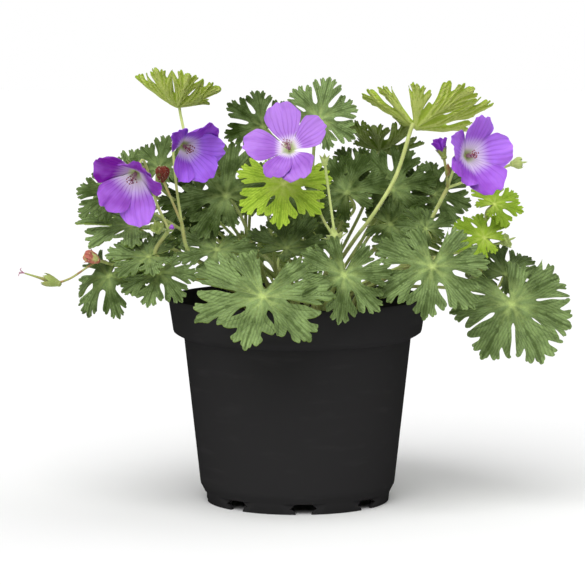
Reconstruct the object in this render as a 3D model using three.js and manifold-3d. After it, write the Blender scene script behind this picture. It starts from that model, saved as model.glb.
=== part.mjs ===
// A hardy geranium in its nursery pot: deeply cut palmate leaves on long stalks, leafy flowering stems,
// five-petalled flowers, buds and beaked fruits, growing from one crown in a pot of soil.
// Millimetres, +Z up, the origin on the ground under the centre of the pot, the best side towards -Y.
import * as THREE from "three";
import { mergeVertices } from "three/addons/utils/BufferGeometryUtils.js";
import Module from "manifold-3d";

const wasm = await Module();
wasm.setup();

// ---------------------------------------------------------------- driving dimensions
const GAP = 0.3; // between neighbouring pieces
const POT = {
  height: 135,
  rimRadius: 85,
  rimLow: 108.4, // where the rim's underside meets the wall
  wallTopRadius: 74.7,
  wallFootRadius: 64,
  footRadius: 60.4,
  footWidth: 3,
  wall: 1.6,
  floorUnder: 8,
  floorTop: 10,
  sides: 32,
};
const NOTCH = { count: 8, turn: -86.3, wide: 28, high: 7, inset: 1.3, mouth: 10, flare: 9 };
const SLOT = { near: 48, far: 55, wide: 12 }; // drain slots in the floor, one behind each notch
const SOIL = { edge: 121, crown: 125.5, holeDepth: 16, holeSides: 4 };
const HOLE_EASE = 1.44; // a few-sided hole clears the stem in it
const BLADE = 0.8; // thickness of a leaf
const PETAL = 0.7; // thickness of a petal
const STALK = 1.3; // radius of a leaf stalk
const STEM = 1.5; // radius of a flowering stem
const PEDICEL = 0.95; // radius of a flower's own stalk

// ---------------------------------------------------------------- materials
const finish = (color, roughness) => new THREE.MeshStandardMaterial({ color, roughness, metalness: 0 });
const BLACK_PLASTIC = finish(0x1c1c1e, 0.5);
const PEAT = finish(0x2b1d12, 0.95);
const GREEN = finish(0x4f7a3c, 0.6);
const BLUE_GREEN = finish(0x5f8a5c, 0.6);
const YOUNG_GREEN = finish(0x8fb53a, 0.55);
const STEM_GREEN = finish(0x8aa84e, 0.55);
const VIOLET = finish(0x9a62d8, 0.6);
const HEART_RED = finish(0x8a3b4a, 0.6);

// ---------------------------------------------------------------- solids
const radians = THREE.MathUtils.degToRad;
const vec = (x, y, z) => new THREE.Vector3(x, y, z);

// A closed geometry as a manifold-3d solid.
function solid(geometry) {
  geometry.deleteAttribute("normal");
  geometry.deleteAttribute("uv");
  const merged = mergeVertices(geometry, 1e-4);
  return new wasm.Manifold(
    new wasm.Mesh({
      numProp: 3,
      vertProperties: new Float32Array(merged.attributes.position.array),
      triVerts: new Uint32Array(merged.index.array),
    }),
  );
}

function geometryOf(made) {
  const mesh = made.getMesh();
  return new THREE.BufferGeometry()
    .setAttribute("position", new THREE.BufferAttribute(new Float32Array(mesh.vertProperties), 3))
    .setIndex(new THREE.BufferAttribute(new Uint32Array(mesh.triVerts), 1));
}

const fused = (solids) => solids.reduce((whole, piece) => whole.add(piece));

// A thin sheet as a solid: rows of points with their normals, split into the same triangles on both faces.
function sheetSolid(points, normals, triangles, rim, thickness) {
  const n = points.length;
  const place = new Float32Array(6 * n);
  points.forEach((p, i) => {
    const half = normals[i].clone().multiplyScalar(thickness / 2);
    p.clone().add(half).toArray(place, 3 * i);
    p.clone().sub(half).toArray(place, 3 * (n + i));
  });
  const index = [];
  for (const [a, b, c] of triangles) index.push(a, b, c, n + a, n + c, n + b);
  rim.forEach((a, i) => {
    const b = rim[(i + 1) % rim.length];
    index.push(a, n + a, n + b, a, n + b, b);
  });
  const sheet = new THREE.BufferGeometry()
    .setAttribute("position", new THREE.BufferAttribute(place, 3))
    .setIndex(index);
  return solid(sheet);
}

// A stem: a few-sided section swept along a curve.
function rod(curve, radius, sides, steps) {
  const ring = Array.from({ length: sides }, (_, i) => {
    const a = (2 * Math.PI * i) / sides;
    return new THREE.Vector2(radius * Math.cos(a), radius * Math.sin(a));
  });
  const options = { steps, bevelEnabled: false, extrudePath: curve };
  return solid(new THREE.ExtrudeGeometry(new THREE.Shape(ring), options));
}

// A body turned about +Z from a profile of [radius, height].
function turned(profile, sides) {
  const points = profile.map(([r, z]) => new THREE.Vector2(r, z));
  return solid(new THREE.LatheGeometry(points, sides).rotateX(Math.PI / 2));
}

// A turned body moved to a point with its +Z along a direction.
function turnedAlong(profile, sides, at, direction) {
  const turn = new THREE.Quaternion().setFromUnitVectors(vec(0, 0, 1), direction.clone().normalize());
  const geometry = new THREE.LatheGeometry(
    profile.map(([r, z]) => new THREE.Vector2(r, z)),
    sides,
  ).rotateX(Math.PI / 2);
  return solid(geometry.applyQuaternion(turn).translate(at.x, at.y, at.z));
}

// The frame of a thing that faces a way: out is its upper side, ahead is where its middle lobe points.
// azimuth 0 faces -Y and 90 faces +X, elevation 90 faces up; point is the clock angle of the middle lobe.
function facing(azimuth, elevation, point) {
  const [az, el, clock] = [azimuth, elevation, point].map(radians);
  const out = vec(Math.cos(el) * Math.sin(az), -Math.cos(el) * Math.cos(az), Math.sin(el));
  const right = vec(Math.cos(az), Math.sin(az), 0);
  const up = out.clone().cross(right);
  const ahead = up.multiplyScalar(Math.cos(clock)).addScaledVector(right, Math.sin(clock));
  const left = out.clone().cross(ahead);
  return { out, ahead, left };
}

const CUP = 6; // how steeply a blade rises from its stalk
const ARCH = 16; // how far it bends over from there to its tips
// Bends a flat point of a blade: it rises from the stalk as a cup and then arches over along a circle.
// r is counted from the stalk, theta from the middle lobe.
function bent(frame, at, { size, arch = ARCH, nod = 0, cup = CUP }, r, theta, lift) {
  const swing = radians(arch + nod * Math.cos(theta));
  const start = -radians(cup);
  const turn = start + (swing * r) / size;
  const level = ((Math.sin(turn) - Math.sin(start)) * size) / swing;
  const drop = ((Math.cos(start) - Math.cos(turn)) * size) / swing;
  const away = frame.ahead
    .clone()
    .multiplyScalar(Math.cos(theta))
    .addScaledVector(frame.left, Math.sin(theta));
  const normal = frame.out
    .clone()
    .multiplyScalar(Math.cos(turn))
    .addScaledVector(away, Math.sin(turn));
  const point = at
    .clone()
    .addScaledVector(away, level)
    .addScaledVector(frame.out, -drop)
    .addScaledVector(normal, lift);
  return { point, normal };
}

// ---------------------------------------------------------------- leaves
const LOBES = [
  { angle: -149, basal: true },
  { angle: -103, length: 0.96 },
  { angle: -51, length: 1 },
  { angle: 0, length: 1 },
  { angle: 51, length: 1 },
  { angle: 103, length: 0.96 },
  { angle: 149, basal: true },
];
const SINUS = [0.4, 0.33, 0.36, 0.36, 0.33, 0.4]; // how far out the cut between two lobes starts
const STALK_NOTCH = 0.06; // behind the stalk, where the two smallest lobes part
// Half of a lobe's edge, as shares of its length: along the rib, and out from it.
const EDGES = {
  0: [[0.74, 0.3]],
  1: [[0.76, 0.31], [0.7, 0.13]],
  2: [[0.5, 0.2], [0.76, 0.32], [0.68, 0.12]],
  3: [[0.5, 0.2], [0.74, 0.33], [0.84, 0.25], [0.67, 0.12], [0.88, 0.17]],
};
const RIB_POINT = 0.5; // where the triangles of a lobe meet on its rib
const PLEAT = 0.055; // how far a lobe's sides stand above its rib, as a share of its length

function blade(plan) {
  const { at, size, face, point, teeth = 2, base = 0.66, spread = 1 } = plan;
  const seat = vec(...at);
  const frame = facing(...face, point);
  const flat = [[0, 0, 0]];
  const rim = [];
  const triangles = [];
  const add = (x, y, lift) => flat.push([x, y, lift]) - 1;
  const notch = add(-STALK_NOTCH * size, 0, 0);
  let before = notch;
  rim.push(notch);
  LOBES.forEach((lobe, i) => {
    const a = radians(lobe.angle * spread);
    const length = (lobe.length ?? base) * size;
    const on = (s, w) => [
      length * (s * Math.cos(a) - w * Math.sin(a)),
      length * (s * Math.sin(a) + w * Math.cos(a)),
      Math.abs(w) * PLEAT * length * 3,
    ];
    const half = EDGES[lobe.basal && base < 0.8 ? 0 : teeth];
    const rib = teeth === 0 ? 0 : add(...on(RIB_POINT, 0));
    const edge = [
      ...half.map(([s, w]) => add(...on(s, -w))),
      add(...on(1, 0)),
      ...[...half].reverse().map(([s, w]) => add(...on(s, w))),
    ];
    rim.push(...edge);
    let after = notch;
    if (i < SINUS.length) {
      const middle = radians((spread * (lobe.angle + LOBES[i + 1].angle)) / 2);
      const out = SINUS[i] * size;
      after = add(out * Math.cos(middle), out * Math.sin(middle), PLEAT * size * 0.4);
      rim.push(after);
    }
    const round = [before, ...edge, after];
    for (let k = 0; k + 1 < round.length; k++) triangles.push([rib, round[k], round[k + 1]]);
    if (rib) triangles.push([0, before, rib], [0, rib, after]);
    before = after;
  });
  const made = flat.map(([x, y, lift]) =>
    bent(frame, seat, plan, Math.hypot(x, y), Math.atan2(y, x), lift),
  );
  const points = made.map((m) => m.point);
  const normals = made.map((m) => m.normal);
  return sheetSolid(points, normals, triangles, rim, BLADE);
}

// Where stalks leave the soil: places in a sunflower pattern, each taken by one stalk.
// A stalk asks for a place on its own side, low leaves outside, high ones near the middle of the crown.
const CROWN = { outer: 34, inner: 8, depth: 110, spacing: 5.2, places: 56 };
const SEATS = { low: 130, high: 262 }; // heights of the blades whose stalks root outermost and innermost
const GOLDEN_SHARE = 0.618034;
const GOLDEN_ANGLE = 2 * Math.PI * (1 - GOLDEN_SHARE);
const free = Array.from({ length: CROWN.places }, (_, i) => {
  const r = CROWN.spacing * Math.sqrt(i + 0.6);
  return vec(r * Math.cos(i * GOLDEN_ANGLE), r * Math.sin(i * GOLDEN_ANGLE), CROWN.depth);
});
function rootOf(x, y, z) {
  const high = THREE.MathUtils.clamp((z - SEATS.low) / (SEATS.high - SEATS.low), 0, 1);
  const reach = THREE.MathUtils.lerp(CROWN.outer, CROWN.inner, high);
  const a = Math.atan2(y, x);
  const wish = vec(reach * Math.cos(a), reach * Math.sin(a), CROWN.depth);
  free.sort((p, q) => p.distanceTo(wish) - q.distanceTo(wish));
  return free.shift();
}
const aboveSoil = (root, lean = 1.12) => vec(root.x * lean, root.y * lean, SOIL.crown + 10);

// A leaf stalk: from its start, by way of the points given, and into the blade from behind.
function stalkInto({ at, size, face, point, cup = CUP, pull = 0.3 }, before) {
  const seat = vec(...at);
  const frame = facing(...face, point);
  const behind = seat.clone().addScaledVector(frame.ahead, -pull * size);
  behind.addScaledVector(frame.out, -0.7 * pull * size);
  const reach = STALK_NOTCH * size;
  const end = seat.clone().addScaledVector(frame.ahead, -reach * Math.cos(radians(cup)));
  end.addScaledVector(frame.out, reach * Math.sin(radians(cup)));
  return new THREE.CatmullRomCurve3([...before, behind, end], false, "centripetal");
}

const holes = []; // where the soil is opened, one for each stem
// A stem that stands in the soil, in a straight hole along its first length.
function rooted(curve, radius, sides, steps) {
  const [at, above] = curve.getSpacedPoints(steps);
  holes.push({ at, above, radius });
  return rod(curve, radius, sides, steps);
}

function basalLeaf(plan) {
  const radius = plan.thick ?? STALK;
  const root = rootOf(...plan.at);
  const above = aboveSoil(root);
  const via = (plan.via ?? []).map((p) => vec(...p));
  return blade(plan).add(rooted(stalkInto(plan, [root, above, ...via]), radius, 3, 4 + via.length));
}

// A leaf on a flowering stem, with a short stalk from the joint.
function stemLeaf(joint, plan) {
  return blade(plan).add(rod(stalkInto(plan, [vec(...joint)]), PEDICEL, 3, 3));
}

// ---------------------------------------------------------------- flowers
// A petal as a sheet: shares of its length, half its width there, and how the width is divided.
const PETAL_ROWS = [[0, 0.1], [0.35, 0.65], [0.78, 1], [1, 0.6]];
const PETAL_COLUMNS = [-1, 0, 1];
const TIP_BACK = 0.07; // how far the corners of the tip stay behind its middle
const CURL = 16; // how far a petal bends outwards from its foot to its tip
const TILT = -0.16; // one side of a petal lies under its neighbour and the other over it
const DISH = 0.08;
const CLAW = { from: 1.1, half: 1.35 }; // where a petal starts beside the middle, and half its width there
function petal({ at, frame, angle, length, width, lift }) {
  const clock = radians(angle);
  const away = frame.up.clone().multiplyScalar(Math.cos(clock)).addScaledVector(frame.right, Math.sin(clock));
  const across = away.clone().cross(frame.out);
  const points = [];
  const normals = [];
  let [r, h, along] = [CLAW.from, 0, 0];
  PETAL_ROWS.forEach(([s, wide], row) => {
    const slope = radians(lift + CURL / 2 - CURL * s);
    r += (s - along) * length * Math.cos(slope);
    h += (s - along) * length * Math.sin(slope);
    along = s;
    const half = Math.max((wide * width) / 2, CLAW.half);
    const normal = frame.out.clone().multiplyScalar(Math.cos(slope)).addScaledVector(away, -Math.sin(slope));
    PETAL_COLUMNS.forEach((v) => {
      const back = row === PETAL_ROWS.length - 1 ? TIP_BACK * length * v * v : 0;
      const rise = (TILT * v * s + DISH * v * v) * half;
      points.push(
        at.clone()
          .addScaledVector(away, r - back)
          .addScaledVector(across, v * half)
          .addScaledVector(frame.out, h)
          .addScaledVector(normal, rise),
      );
      normals.push(normal);
    });
  });
  const wide = PETAL_COLUMNS.length;
  const deep = PETAL_ROWS.length;
  const triangles = [];
  for (let i = 0; i + 1 < deep; i++) {
    for (let j = 0; j + 1 < wide; j++) {
      const a = i * wide + j;
      triangles.push([a, a + 1, a + wide], [a + 1, a + wide + 1, a + wide]);
    }
  }
  const rim = [];
  for (let j = 0; j < wide; j++) rim.push(j);
  for (let i = 1; i < deep; i++) rim.push(i * wide + wide - 1);
  for (let j = wide - 2; j >= 0; j--) rim.push((deep - 1) * wide + j);
  for (let i = deep - 2; i > 0; i--) rim.push(i * wide);
  return sheetSolid(points, normals, triangles, rim, PETAL);
}

function bloomFrame(azimuth, elevation) {
  const { out, ahead, left } = facing(azimuth, elevation, 0);
  return { out, up: ahead, right: left.clone().negate() };
}

// Five petals that join in a ring round the middle, each with its clock angle, lift, width and length.
function corolla({ at, face, length, petals }) {
  const frame = bloomFrame(...face);
  const made = petals.map(([angle, lift, width, share]) => {
    const long = share * length;
    return petal({ at: vec(...at), frame, angle, length: long, width: width * long, lift });
  });
  return fused(made);
}

// The style and the ring of anthers round it in the middle of a flower.
const HEART = [[0, 0], [0.9, 0], [0.8, 6], [2.7, 9.6], [1.5, 10.4], [0, 9.2]];
function heartSolid({ at, face }) {
  const { out } = bloomFrame(...face);
  return turnedAlong(HEART, 8, vec(...at).addScaledVector(out, CLAW.from), out);
}

// Five pointed sepals round the end of a stalk: open is how far they spread from the stalk's line.
function calyx(at, out, { length = 9, open = 65, wide = 3, cup = 2.1 } = {}) {
  const way = out.clone().normalize();
  const side = Math.abs(way.z) < 0.9 ? vec(0, 0, 1) : vec(1, 0, 0);
  const right = side.clone().cross(way).normalize();
  const up = way.clone().cross(right);
  const parts = [turnedAlong([[0, -2.8], [cup, -1.2], [0, -0.1]], 5, at, way)];
  for (let i = 0; i < 5; i++) {
    const turn = radians(36 + 72 * i);
    const away = right.clone().multiplyScalar(Math.cos(turn)).addScaledVector(up, Math.sin(turn));
    const across = away.clone().cross(way);
    const slope = radians(open);
    const run = away.clone().multiplyScalar(Math.sin(slope)).addScaledVector(way, Math.cos(slope));
    const normal = way.clone().multiplyScalar(Math.sin(slope)).addScaledVector(away, -Math.cos(slope));
    const base = at.clone().addScaledVector(way, -1.2).addScaledVector(away, 1.3);
    const place = (s, w) => base.clone().addScaledVector(run, s * length).addScaledVector(across, w * wide);
    const points = [place(0, 0), place(0.4, 0.5), place(1, 0), place(0.4, -0.5)];
    parts.push(sheetSolid(points, points.map(() => normal), [[0, 1, 2], [0, 2, 3]], [0, 1, 2, 3], PETAL));
  }
  return fused(parts);
}

// ---------------------------------------------------------------- stems
// A stem by way of the points given.
function twig(points, radius) {
  const curve = new THREE.CatmullRomCurve3(points.map((p) => vec(...p)), false, "centripetal");
  return rod(curve, radius, 4, 2 * (points.length - 1));
}

// A flowering stem from the crown to its first joint.
function mainStem(points) {
  const joint = points[points.length - 1];
  const root = rootOf(joint[0], joint[1], SEATS.low);
  const above = aboveSoil(root);
  const line = [root, above, ...points.map((p) => vec(...p))];
  const curve = new THREE.CatmullRomCurve3(line, false, "centripetal");
  return rooted(curve, STEM, 4, 2 * points.length + 1);
}

// The stalk of a flower from a joint on the stem to the back of the flower, ending in its calyx.
function pedicel(from, { at, face }, via = []) {
  const frame = bloomFrame(...face);
  const seat = vec(...at).addScaledVector(frame.out, -0.6 - GAP);
  const behind = seat.clone().addScaledVector(frame.out, -12);
  const line = [vec(...from), ...via.map((p) => vec(...p)), behind, seat];
  const stalk = rod(new THREE.CatmullRomCurve3(line, false, "centripetal"), PEDICEL, 3, line.length + 1);
  return stalk.add(calyx(seat, frame.out, { length: 10, open: 62 }));
}

// A beaked fruit: a swollen base and a long beak, with the sepals round it.
function cranesbill(from, to) {
  const way = to.clone().sub(from);
  const long = way.length();
  const shares = [[0, -0.04], [2.5, 0.12], [1.9, 0.26], [0.9, 0.4], [0.7, 0.9], [0, 1]];
  const beak = shares.map(([r, share]) => [r, share * long]);
  return turnedAlong(beak, 6, from, way).add(calyx(from, way, { length: 13, open: 24, wide: 4 }));
}

// The short stalk of a bud and the bud, closed in its sepals.
function budSolid(from, at) {
  const start = vec(...from);
  const way = at.clone().sub(start).normalize();
  const stalk = rod(new THREE.LineCurve3(start, at), PEDICEL, 4, 1);
  return stalk.add(turnedAlong([[0, -2], [2.7, 0], [2.7, 4], [0.7, 8.5], [0, 9.5]], 6, at, way));
}

// The swollen joint of a stem, with a pair of bracts.
function swelling(at, way) {
  const body = turnedAlong([[0, -7], [2.6, -3], [3, 1], [2, 6], [0, 9]], 6, at, way);
  return body.add(calyx(at, way, { length: 9, open: 55, wide: 5, cup: 2.8 }));
}

// A calyx that has lost its petals, on its stalk.
function fruitingCalyx(from, at, tip, sepals = { length: 9, open: 30 }) {
  const way = tip.clone().sub(at);
  const stalk = rod(new THREE.LineCurve3(vec(...from), at), PEDICEL, 4, 1);
  return stalk
    .add(turnedAlong([[0, -1], [1, 0], [0.6, way.length()], [0, way.length() + 1]], 5, at, way))
    .add(calyx(at, way, sepals));
}

// A bloom that has withered in its calyx, on its stalk: wide is the radius of its crumpled head.
function spentBloom(from, at, tip, wide) {
  const way = tip.clone().sub(at);
  const long = way.length();
  const stalk = rod(new THREE.LineCurve3(vec(...from), at), PEDICEL, 4, 1);
  const shares = [[0, -0.3], [0.7, 0.1], [1, 0.6], [0.8, 1], [0, 0.85]];
  const head = shares.map(([across, along]) => [across * wide, along * long]);
  return stalk.add(turnedAlong(head, 7, at, way));
}

// ---------------------------------------------------------------- planting plan
const YOUNG = ["leaf_high_left", "leaf_bright_middle", "leaf_high_right"];
// at: where the stalk joins the blade; size: length of the middle lobe; face: azimuth and elevation.
// Leaves that lean on one another are one body.
const LEAVES = {
  leaf_high_right: [
    {
      at: [76, -24, 247], size: 55, face: [147, 54], point: -170, arch: -2, nod: -14, cup: 26, teeth: 3,
      thick: 1.6, pull: 0.06, via: [[22, -2, 150], [38, -30, 177], [47, -40, 190], [63, -34, 216]],
    },
  ],
  leaf_high_left: [
    {
      at: [-79, 8, 259], size: 35, face: [152, 71], point: 12, arch: -19, nod: -7, cup: 18, teeth: 1,
      thick: 1.1, pull: 0.1, via: [[-24, 7, 156], [-56, 4, 190], [-70, 2, 227]],
    },
  ],
  leaves_left_upper: [
    { at: [-107, -30, 184], size: 38, face: [-15, 72], point: -95, teeth: 1 },
    { at: [-112, 6, 208], size: 29, face: [-20, 35], point: -100, teeth: 0 },
  ],
  leaf_mid_left: [{ at: [-46, -34, 204], size: 36, face: [0, 25], point: -45, teeth: 1 }],
  leaves_left_inner: [
    { at: [-66, -12, 200], size: 28, face: [-10, 40], point: -140, teeth: 0 },
    { at: [-90, -14, 220], size: 25, face: [-10, 35], point: 10, teeth: 0 },
  ],
  leaf_bright_middle: [
    { at: [-9, -54, 213], size: 34, face: [5, 35], point: 187, arch: 14,
      via: [[-8, -14, 186], [-8, -24, 204]] },
  ],
  leaf_top_left_of_middle: [{ at: [-23, 10, 246], size: 28, face: [10, 35], point: -55, teeth: 0 }],
  leaf_top_middle: [{ at: [14, 7, 251], size: 29, face: [4, 25], point: 15, base: 0.8, teeth: 1 }],
  leaf_dark_middle: [
    { at: [32, -22, 205], size: 31, face: [-10, 25], point: -30, teeth: 1,
      via: [[20, -14, 150], [26, -15, 180]] },
  ],
  leaves_dark_right: [
    { at: [62, -6, 206], size: 34, face: [15, 20], point: 25, teeth: 1 },
    { at: [60, -20, 184], size: 29, face: [15, 45], point: 100, teeth: 0 },
    { at: [90, 5, 202], size: 27, face: [20, 30], point: 60, teeth: 0 },
  ],
  leaf_edge_on: [
    { at: [55, 34, 229], size: 31, face: [158, 63], point: -60, arch: -20, teeth: 0, via: [[46, 14, 200]] },
  ],
  leaves_front: [
    {
      at: [-22, -95, 145], size: 50, face: [0, 52], point: 193, arch: 8, teeth: 3, base: 0.92, spread: 1.06,
    },
    { at: [29, -84, 158], size: 33, face: [20, 20], point: 195, arch: 6, base: 0.8, teeth: 1 },
  ],
  leaf_front_back: [{ at: [-7, -45, 171], size: 30, face: [0, 58], point: 38, arch: -10, teeth: 0 }],
  leaf_front_right: [
    { at: [85, -75, 162], size: 40, face: [0, 35], point: 188, arch: 12, teeth: 3, base: 0.8 },
  ],
  leaf_right_large: [
    { at: [138, -38, 134], size: 45, face: [15, 34], point: 165, arch: 26, teeth: 3, base: 0.75 },
  ],
};

// Small leaves deeper in the plant, between the others: [x, y, z, size, azimuth, elevation, point].
const INNER = [
  [-28, 5, 202, 22, -20, 50, 90],
  [-118, -38, 206, 27, -30, 40, -90],
  [-62, 14, 180, 26, -10, 30, -30],
  [4, -6, 184, 25, 0, 30, 15],
  [38, 6, 216, 22, 5, 35, 20],
];

// at: the middle of the flower; face: azimuth and elevation.
// Each petal: its angle as on a clock, how far it rises from flat, and its width and length as shares.
const FLOWERS = {
  flower_left: {
    at: [-102, -70, 222], face: [-20, -32], length: 33,
    petals: [
      [30, 40, 0.7, 0.95], [86, 38, 0.7, 0.85], [168, 41, 0.78, 1.05], [234, 41, 0.74, 0.92],
      [308, 24, 0.78, 0.84],
    ],
  },
  flower_upper_left: {
    at: [-73, -55, 238], face: [30, -15], length: 28,
    petals: [
      [22, 44, 0.72, 1.05], [80, 46, 0.78, 0.98], [145, 46, 0.76, 1], [204, 44, 0.6, 0.95],
      [308, 36, 0.74, 0.84],
    ],
  },
  flower_middle: {
    at: [-5, -70, 236], face: [-14, 28], length: 30,
    petals: [
      [-14, 26, 0.76, 1], [61, 26, 0.72, 0.97], [150, 26, 0.74, 1.06], [194, 26, 0.66, 0.92],
      [265, 26, 0.76, 0.99],
    ],
  },
  flower_right: {
    at: [107, -55, 231], face: [33, 8], length: 30,
    petals: [
      [8, 39, 0.7, 1], [84, 39, 0.76, 1], [164, 39, 0.86, 1.08], [230, 39, 0.74, 1.04],
      [294, 36, 0.7, 0.94],
    ],
  },
};

// The bud that shows its furled petals: where it sits in its calyx, and the way it points.
const BUD = { seat: [93, -52, 231], way: vec(-2, 0, 6) };
const FURLED = [[0, 0.3], [1.1, 0.4], [2.9, 5.4], [4.2, 8.6], [3.7, 11.6], [1.5, 13.4], [0, 12.8]];

// Leafy and flowering stems, each one body: a main line from the crown and what it carries.
const STEMS = {
  stem_left: () => {
    const joint = [-82, -58, 184];
    return fused([
      mainStem([[-62, -40, 150], [-88, -56, 160], [-91, -60, 170], joint]),
      pedicel(joint, FLOWERS.flower_left, [[-90, -50, 200]]),
      fruitingCalyx(joint, vec(-88, -82, 186), vec(-90, -87, 193), { length: 9, open: 45, wide: 4.5 }),
      budSolid(joint, vec(-80, -76, 187)),
      stemLeaf([-88, -56, 160], {
        at: [-88, -67, 157], size: 27, face: [-8, 42], point: -170, arch: 30, teeth: 0,
      }),
      stemLeaf([-91, -60, 170], {
        at: [-95, -61, 167], size: 28, face: [-10, 58], point: -95, arch: 15, teeth: 0,
      }),
    ]);
  },
  stem_upper_left: () => {
    const joint = [-74, -56, 188];
    return fused([
      mainStem([[-50, -36, 152], [-70, -52, 170], joint]),
      pedicel(joint, FLOWERS.flower_upper_left, [[-78, -48, 215]]),
      spentBloom(joint, vec(-86, -60, 217), vec(-86, -61, 225), 5.2),
      stemLeaf([-58, -44, 160], { at: [-52, -46, 170], size: 29, face: [5, 50], point: -165, teeth: 0 }),
    ]);
  },
  stem_middle: () => {
    const joint = [24, -64, 178];
    return fused([
      mainStem([[18, -42, 155], [24, -60, 167], joint]),
      swelling(vec(...joint), vec(-2, 2, 9)),
      pedicel(joint, FLOWERS.flower_middle, [[14, -56, 196], [13, -45, 210], [6, -38, 228]]),
      fruitingCalyx(joint, vec(17, -68, 228), vec(17, -69, 233), { length: 6, open: 18 }),
    ]);
  },
  stem_right: () => {
    const joint = [96, -46, 210];
    return fused([
      mainStem([[60, -30, 152], [78, -44, 172], [88, -44, 194], joint]),
      pedicel(joint, FLOWERS.flower_right, [[100, -40, 222]]),
      twig([joint, [95, -52, 220], BUD.seat], PEDICEL),
      calyx(vec(...BUD.seat), BUD.way, { length: 7, open: 20 }),
      turnedAlong([[0, 0], [1.8, 2.5], [1.6, 6], [0, 9]], 5, vec(95.5, -52.4, 217.5), vec(0.2, -1, 6)),
      fruitingCalyx(joint, vec(139, -38, 225), vec(147, -38, 226), { length: 9, open: 30, wide: 4 }),
      stemLeaf([78, -44, 172], { at: [82, -52, 184], size: 21, face: [10, 45], point: -30, teeth: 0 }),
    ]);
  },
  stem_low_left: () => {
    const joint = [-120, -40, 160];
    return fused([
      mainStem([[-70, -24, 150], joint]),
      twig([joint, [-127, -46, 163], [-146, -50, 152], [-154, -50, 149]], PEDICEL),
      cranesbill(vec(-154, -50, 149), vec(-180, -50, 157)),
      spentBloom(joint, vec(-129, -50, 164), vec(-137, -51, 168), 4.6),
      stemLeaf([-80, -28, 152], { at: [-96, -22, 160], size: 27, face: [-15, 50], point: -80, teeth: 0 }),
      stemLeaf([-100, -34, 156], {
        at: [-121, -46, 153], size: 33, face: [-28, 42], point: -155, arch: 55, teeth: 1,
      }),
    ]);
  },
  stem_low_right: () => {
    const joint = [125, -16, 170];
    return fused([
      mainStem([[80, -8, 158], [112, -12, 167], joint]),
      fruitingCalyx(joint, vec(134, -23, 173), vec(141, -25, 176), { length: 8, open: 50, wide: 5 }),
      stemLeaf([112, -12, 167], { at: [121, -26, 176], size: 23, face: [0, 40], point: -60, teeth: 0 }),
      stemLeaf(joint, { at: [128, -18, 197], size: 20, face: [10, 40], point: 60, teeth: 0 }),
      stemLeaf([112, -12, 167], {
        at: [136, -8, 150], size: 31, face: [20, 55], point: 50, arch: 6, teeth: 1,
      }),
    ]);
  },
};

// The leaves round the back, by the golden angle, each a little different.
const BACK = { count: 9, from: 14, to: 160, reach: [128, 48], height: [146, 214], tilt: [30, 65], seed: 7 };
// Leaves that lean on one another, fused; the others stay single.
function joined(leaves) {
  const bodies = [];
  for (const leaf of leaves) {
    let whole = leaf;
    for (let i = bodies.length - 1; i >= 0; i--) {
      if (whole.intersect(bodies[i]).volume() > 0) whole = whole.add(bodies.splice(i, 1)[0]);
    }
    bodies.push(whole);
  }
  return bodies;
}
function seeded(seed) {
  let state = seed;
  return () => {
    state = (state * 16807) % 2147483647;
    return state / 2147483647;
  };
}
function backLeaves() {
  const random = seeded(BACK.seed);
  const between = (low, high) => low + (high - low) * random();
  return Array.from({ length: BACK.count }, (_, i) => {
    const share = (i * GOLDEN_SHARE) % 1;
    const round = radians(BACK.from + (BACK.to - BACK.from) * share);
    const high = i / (BACK.count - 1);
    const reach = THREE.MathUtils.lerp(...BACK.reach, high) + between(-4, 4);
    const height = THREE.MathUtils.lerp(...BACK.height, high) + between(-6, 6);
    const azimuth = THREE.MathUtils.radToDeg(round) + 90;
    return {
      at: [reach * Math.cos(round), reach * Math.sin(round), height],
      size: between(32, 40),
      face: [azimuth, THREE.MathUtils.lerp(...BACK.tilt, high)],
      point: 180 + between(-25, 25),
      arch: between(6, 16),
      nod: 12,
      teeth: 0,
    };
  });
}

// ---------------------------------------------------------------- pot and soil
function potSolid() {
  const p = POT;
  const innerTop = p.wallTopRadius - p.wall;
  const innerFoot = p.wallFootRadius - p.wall;
  const profile = [
    [0, p.floorUnder],
    [p.footRadius - p.footWidth + 0.3, p.floorUnder],
    [p.footRadius - p.footWidth, 0],
    [p.footRadius, 0],
    [p.footRadius + 1, 6.5],
    [p.wallFootRadius, 11.5],
    [p.wallTopRadius, p.rimLow],
    [81.6, 112.6],
    [p.rimRadius, p.height],
    [p.rimRadius - 1.7, p.height],
    [80, 114],
    [innerTop + 0.2, 110.4],
    [innerFoot, 12.6],
    [innerFoot - 1.6, p.floorTop],
    [0, p.floorTop],
  ];
  let pot = turned(profile, p.sides);
  for (let i = 0; i < NOTCH.count; i++) {
    const turn = NOTCH.turn + (360 / NOTCH.count) * i;
    const box = (near, far, wide, low, high) => {
      const made = new THREE.BoxGeometry(far - near, wide, high - low);
      return solid(made.translate((near + far) / 2, 0, (low + high) / 2).rotateZ(radians(turn)));
    };
    const mouth = new THREE.Shape(
      [[-NOTCH.mouth / 2, NOTCH.high], [-NOTCH.mouth / 2, 3], [-NOTCH.flare, -1], [NOTCH.flare, -1],
        [NOTCH.mouth / 2, 3], [NOTCH.mouth / 2, NOTCH.high]].map(([y, z]) => new THREE.Vector2(y, z)),
    );
    const passage = new THREE.ExtrudeGeometry(mouth, { depth: 12, bevelEnabled: false });
    passage.rotateX(Math.PI / 2).rotateZ(Math.PI / 2).translate(54, 0, 0).rotateZ(radians(turn));
    pot = pot
      .subtract(box(p.footRadius - NOTCH.inset + 0.6, p.footRadius + 6, NOTCH.wide, -1, NOTCH.high))
      .subtract(solid(passage))
      .subtract(box(SLOT.near, SLOT.far, SLOT.wide, p.floorUnder - 1, p.floorTop + 1));
  }
  return pot;
}

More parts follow.
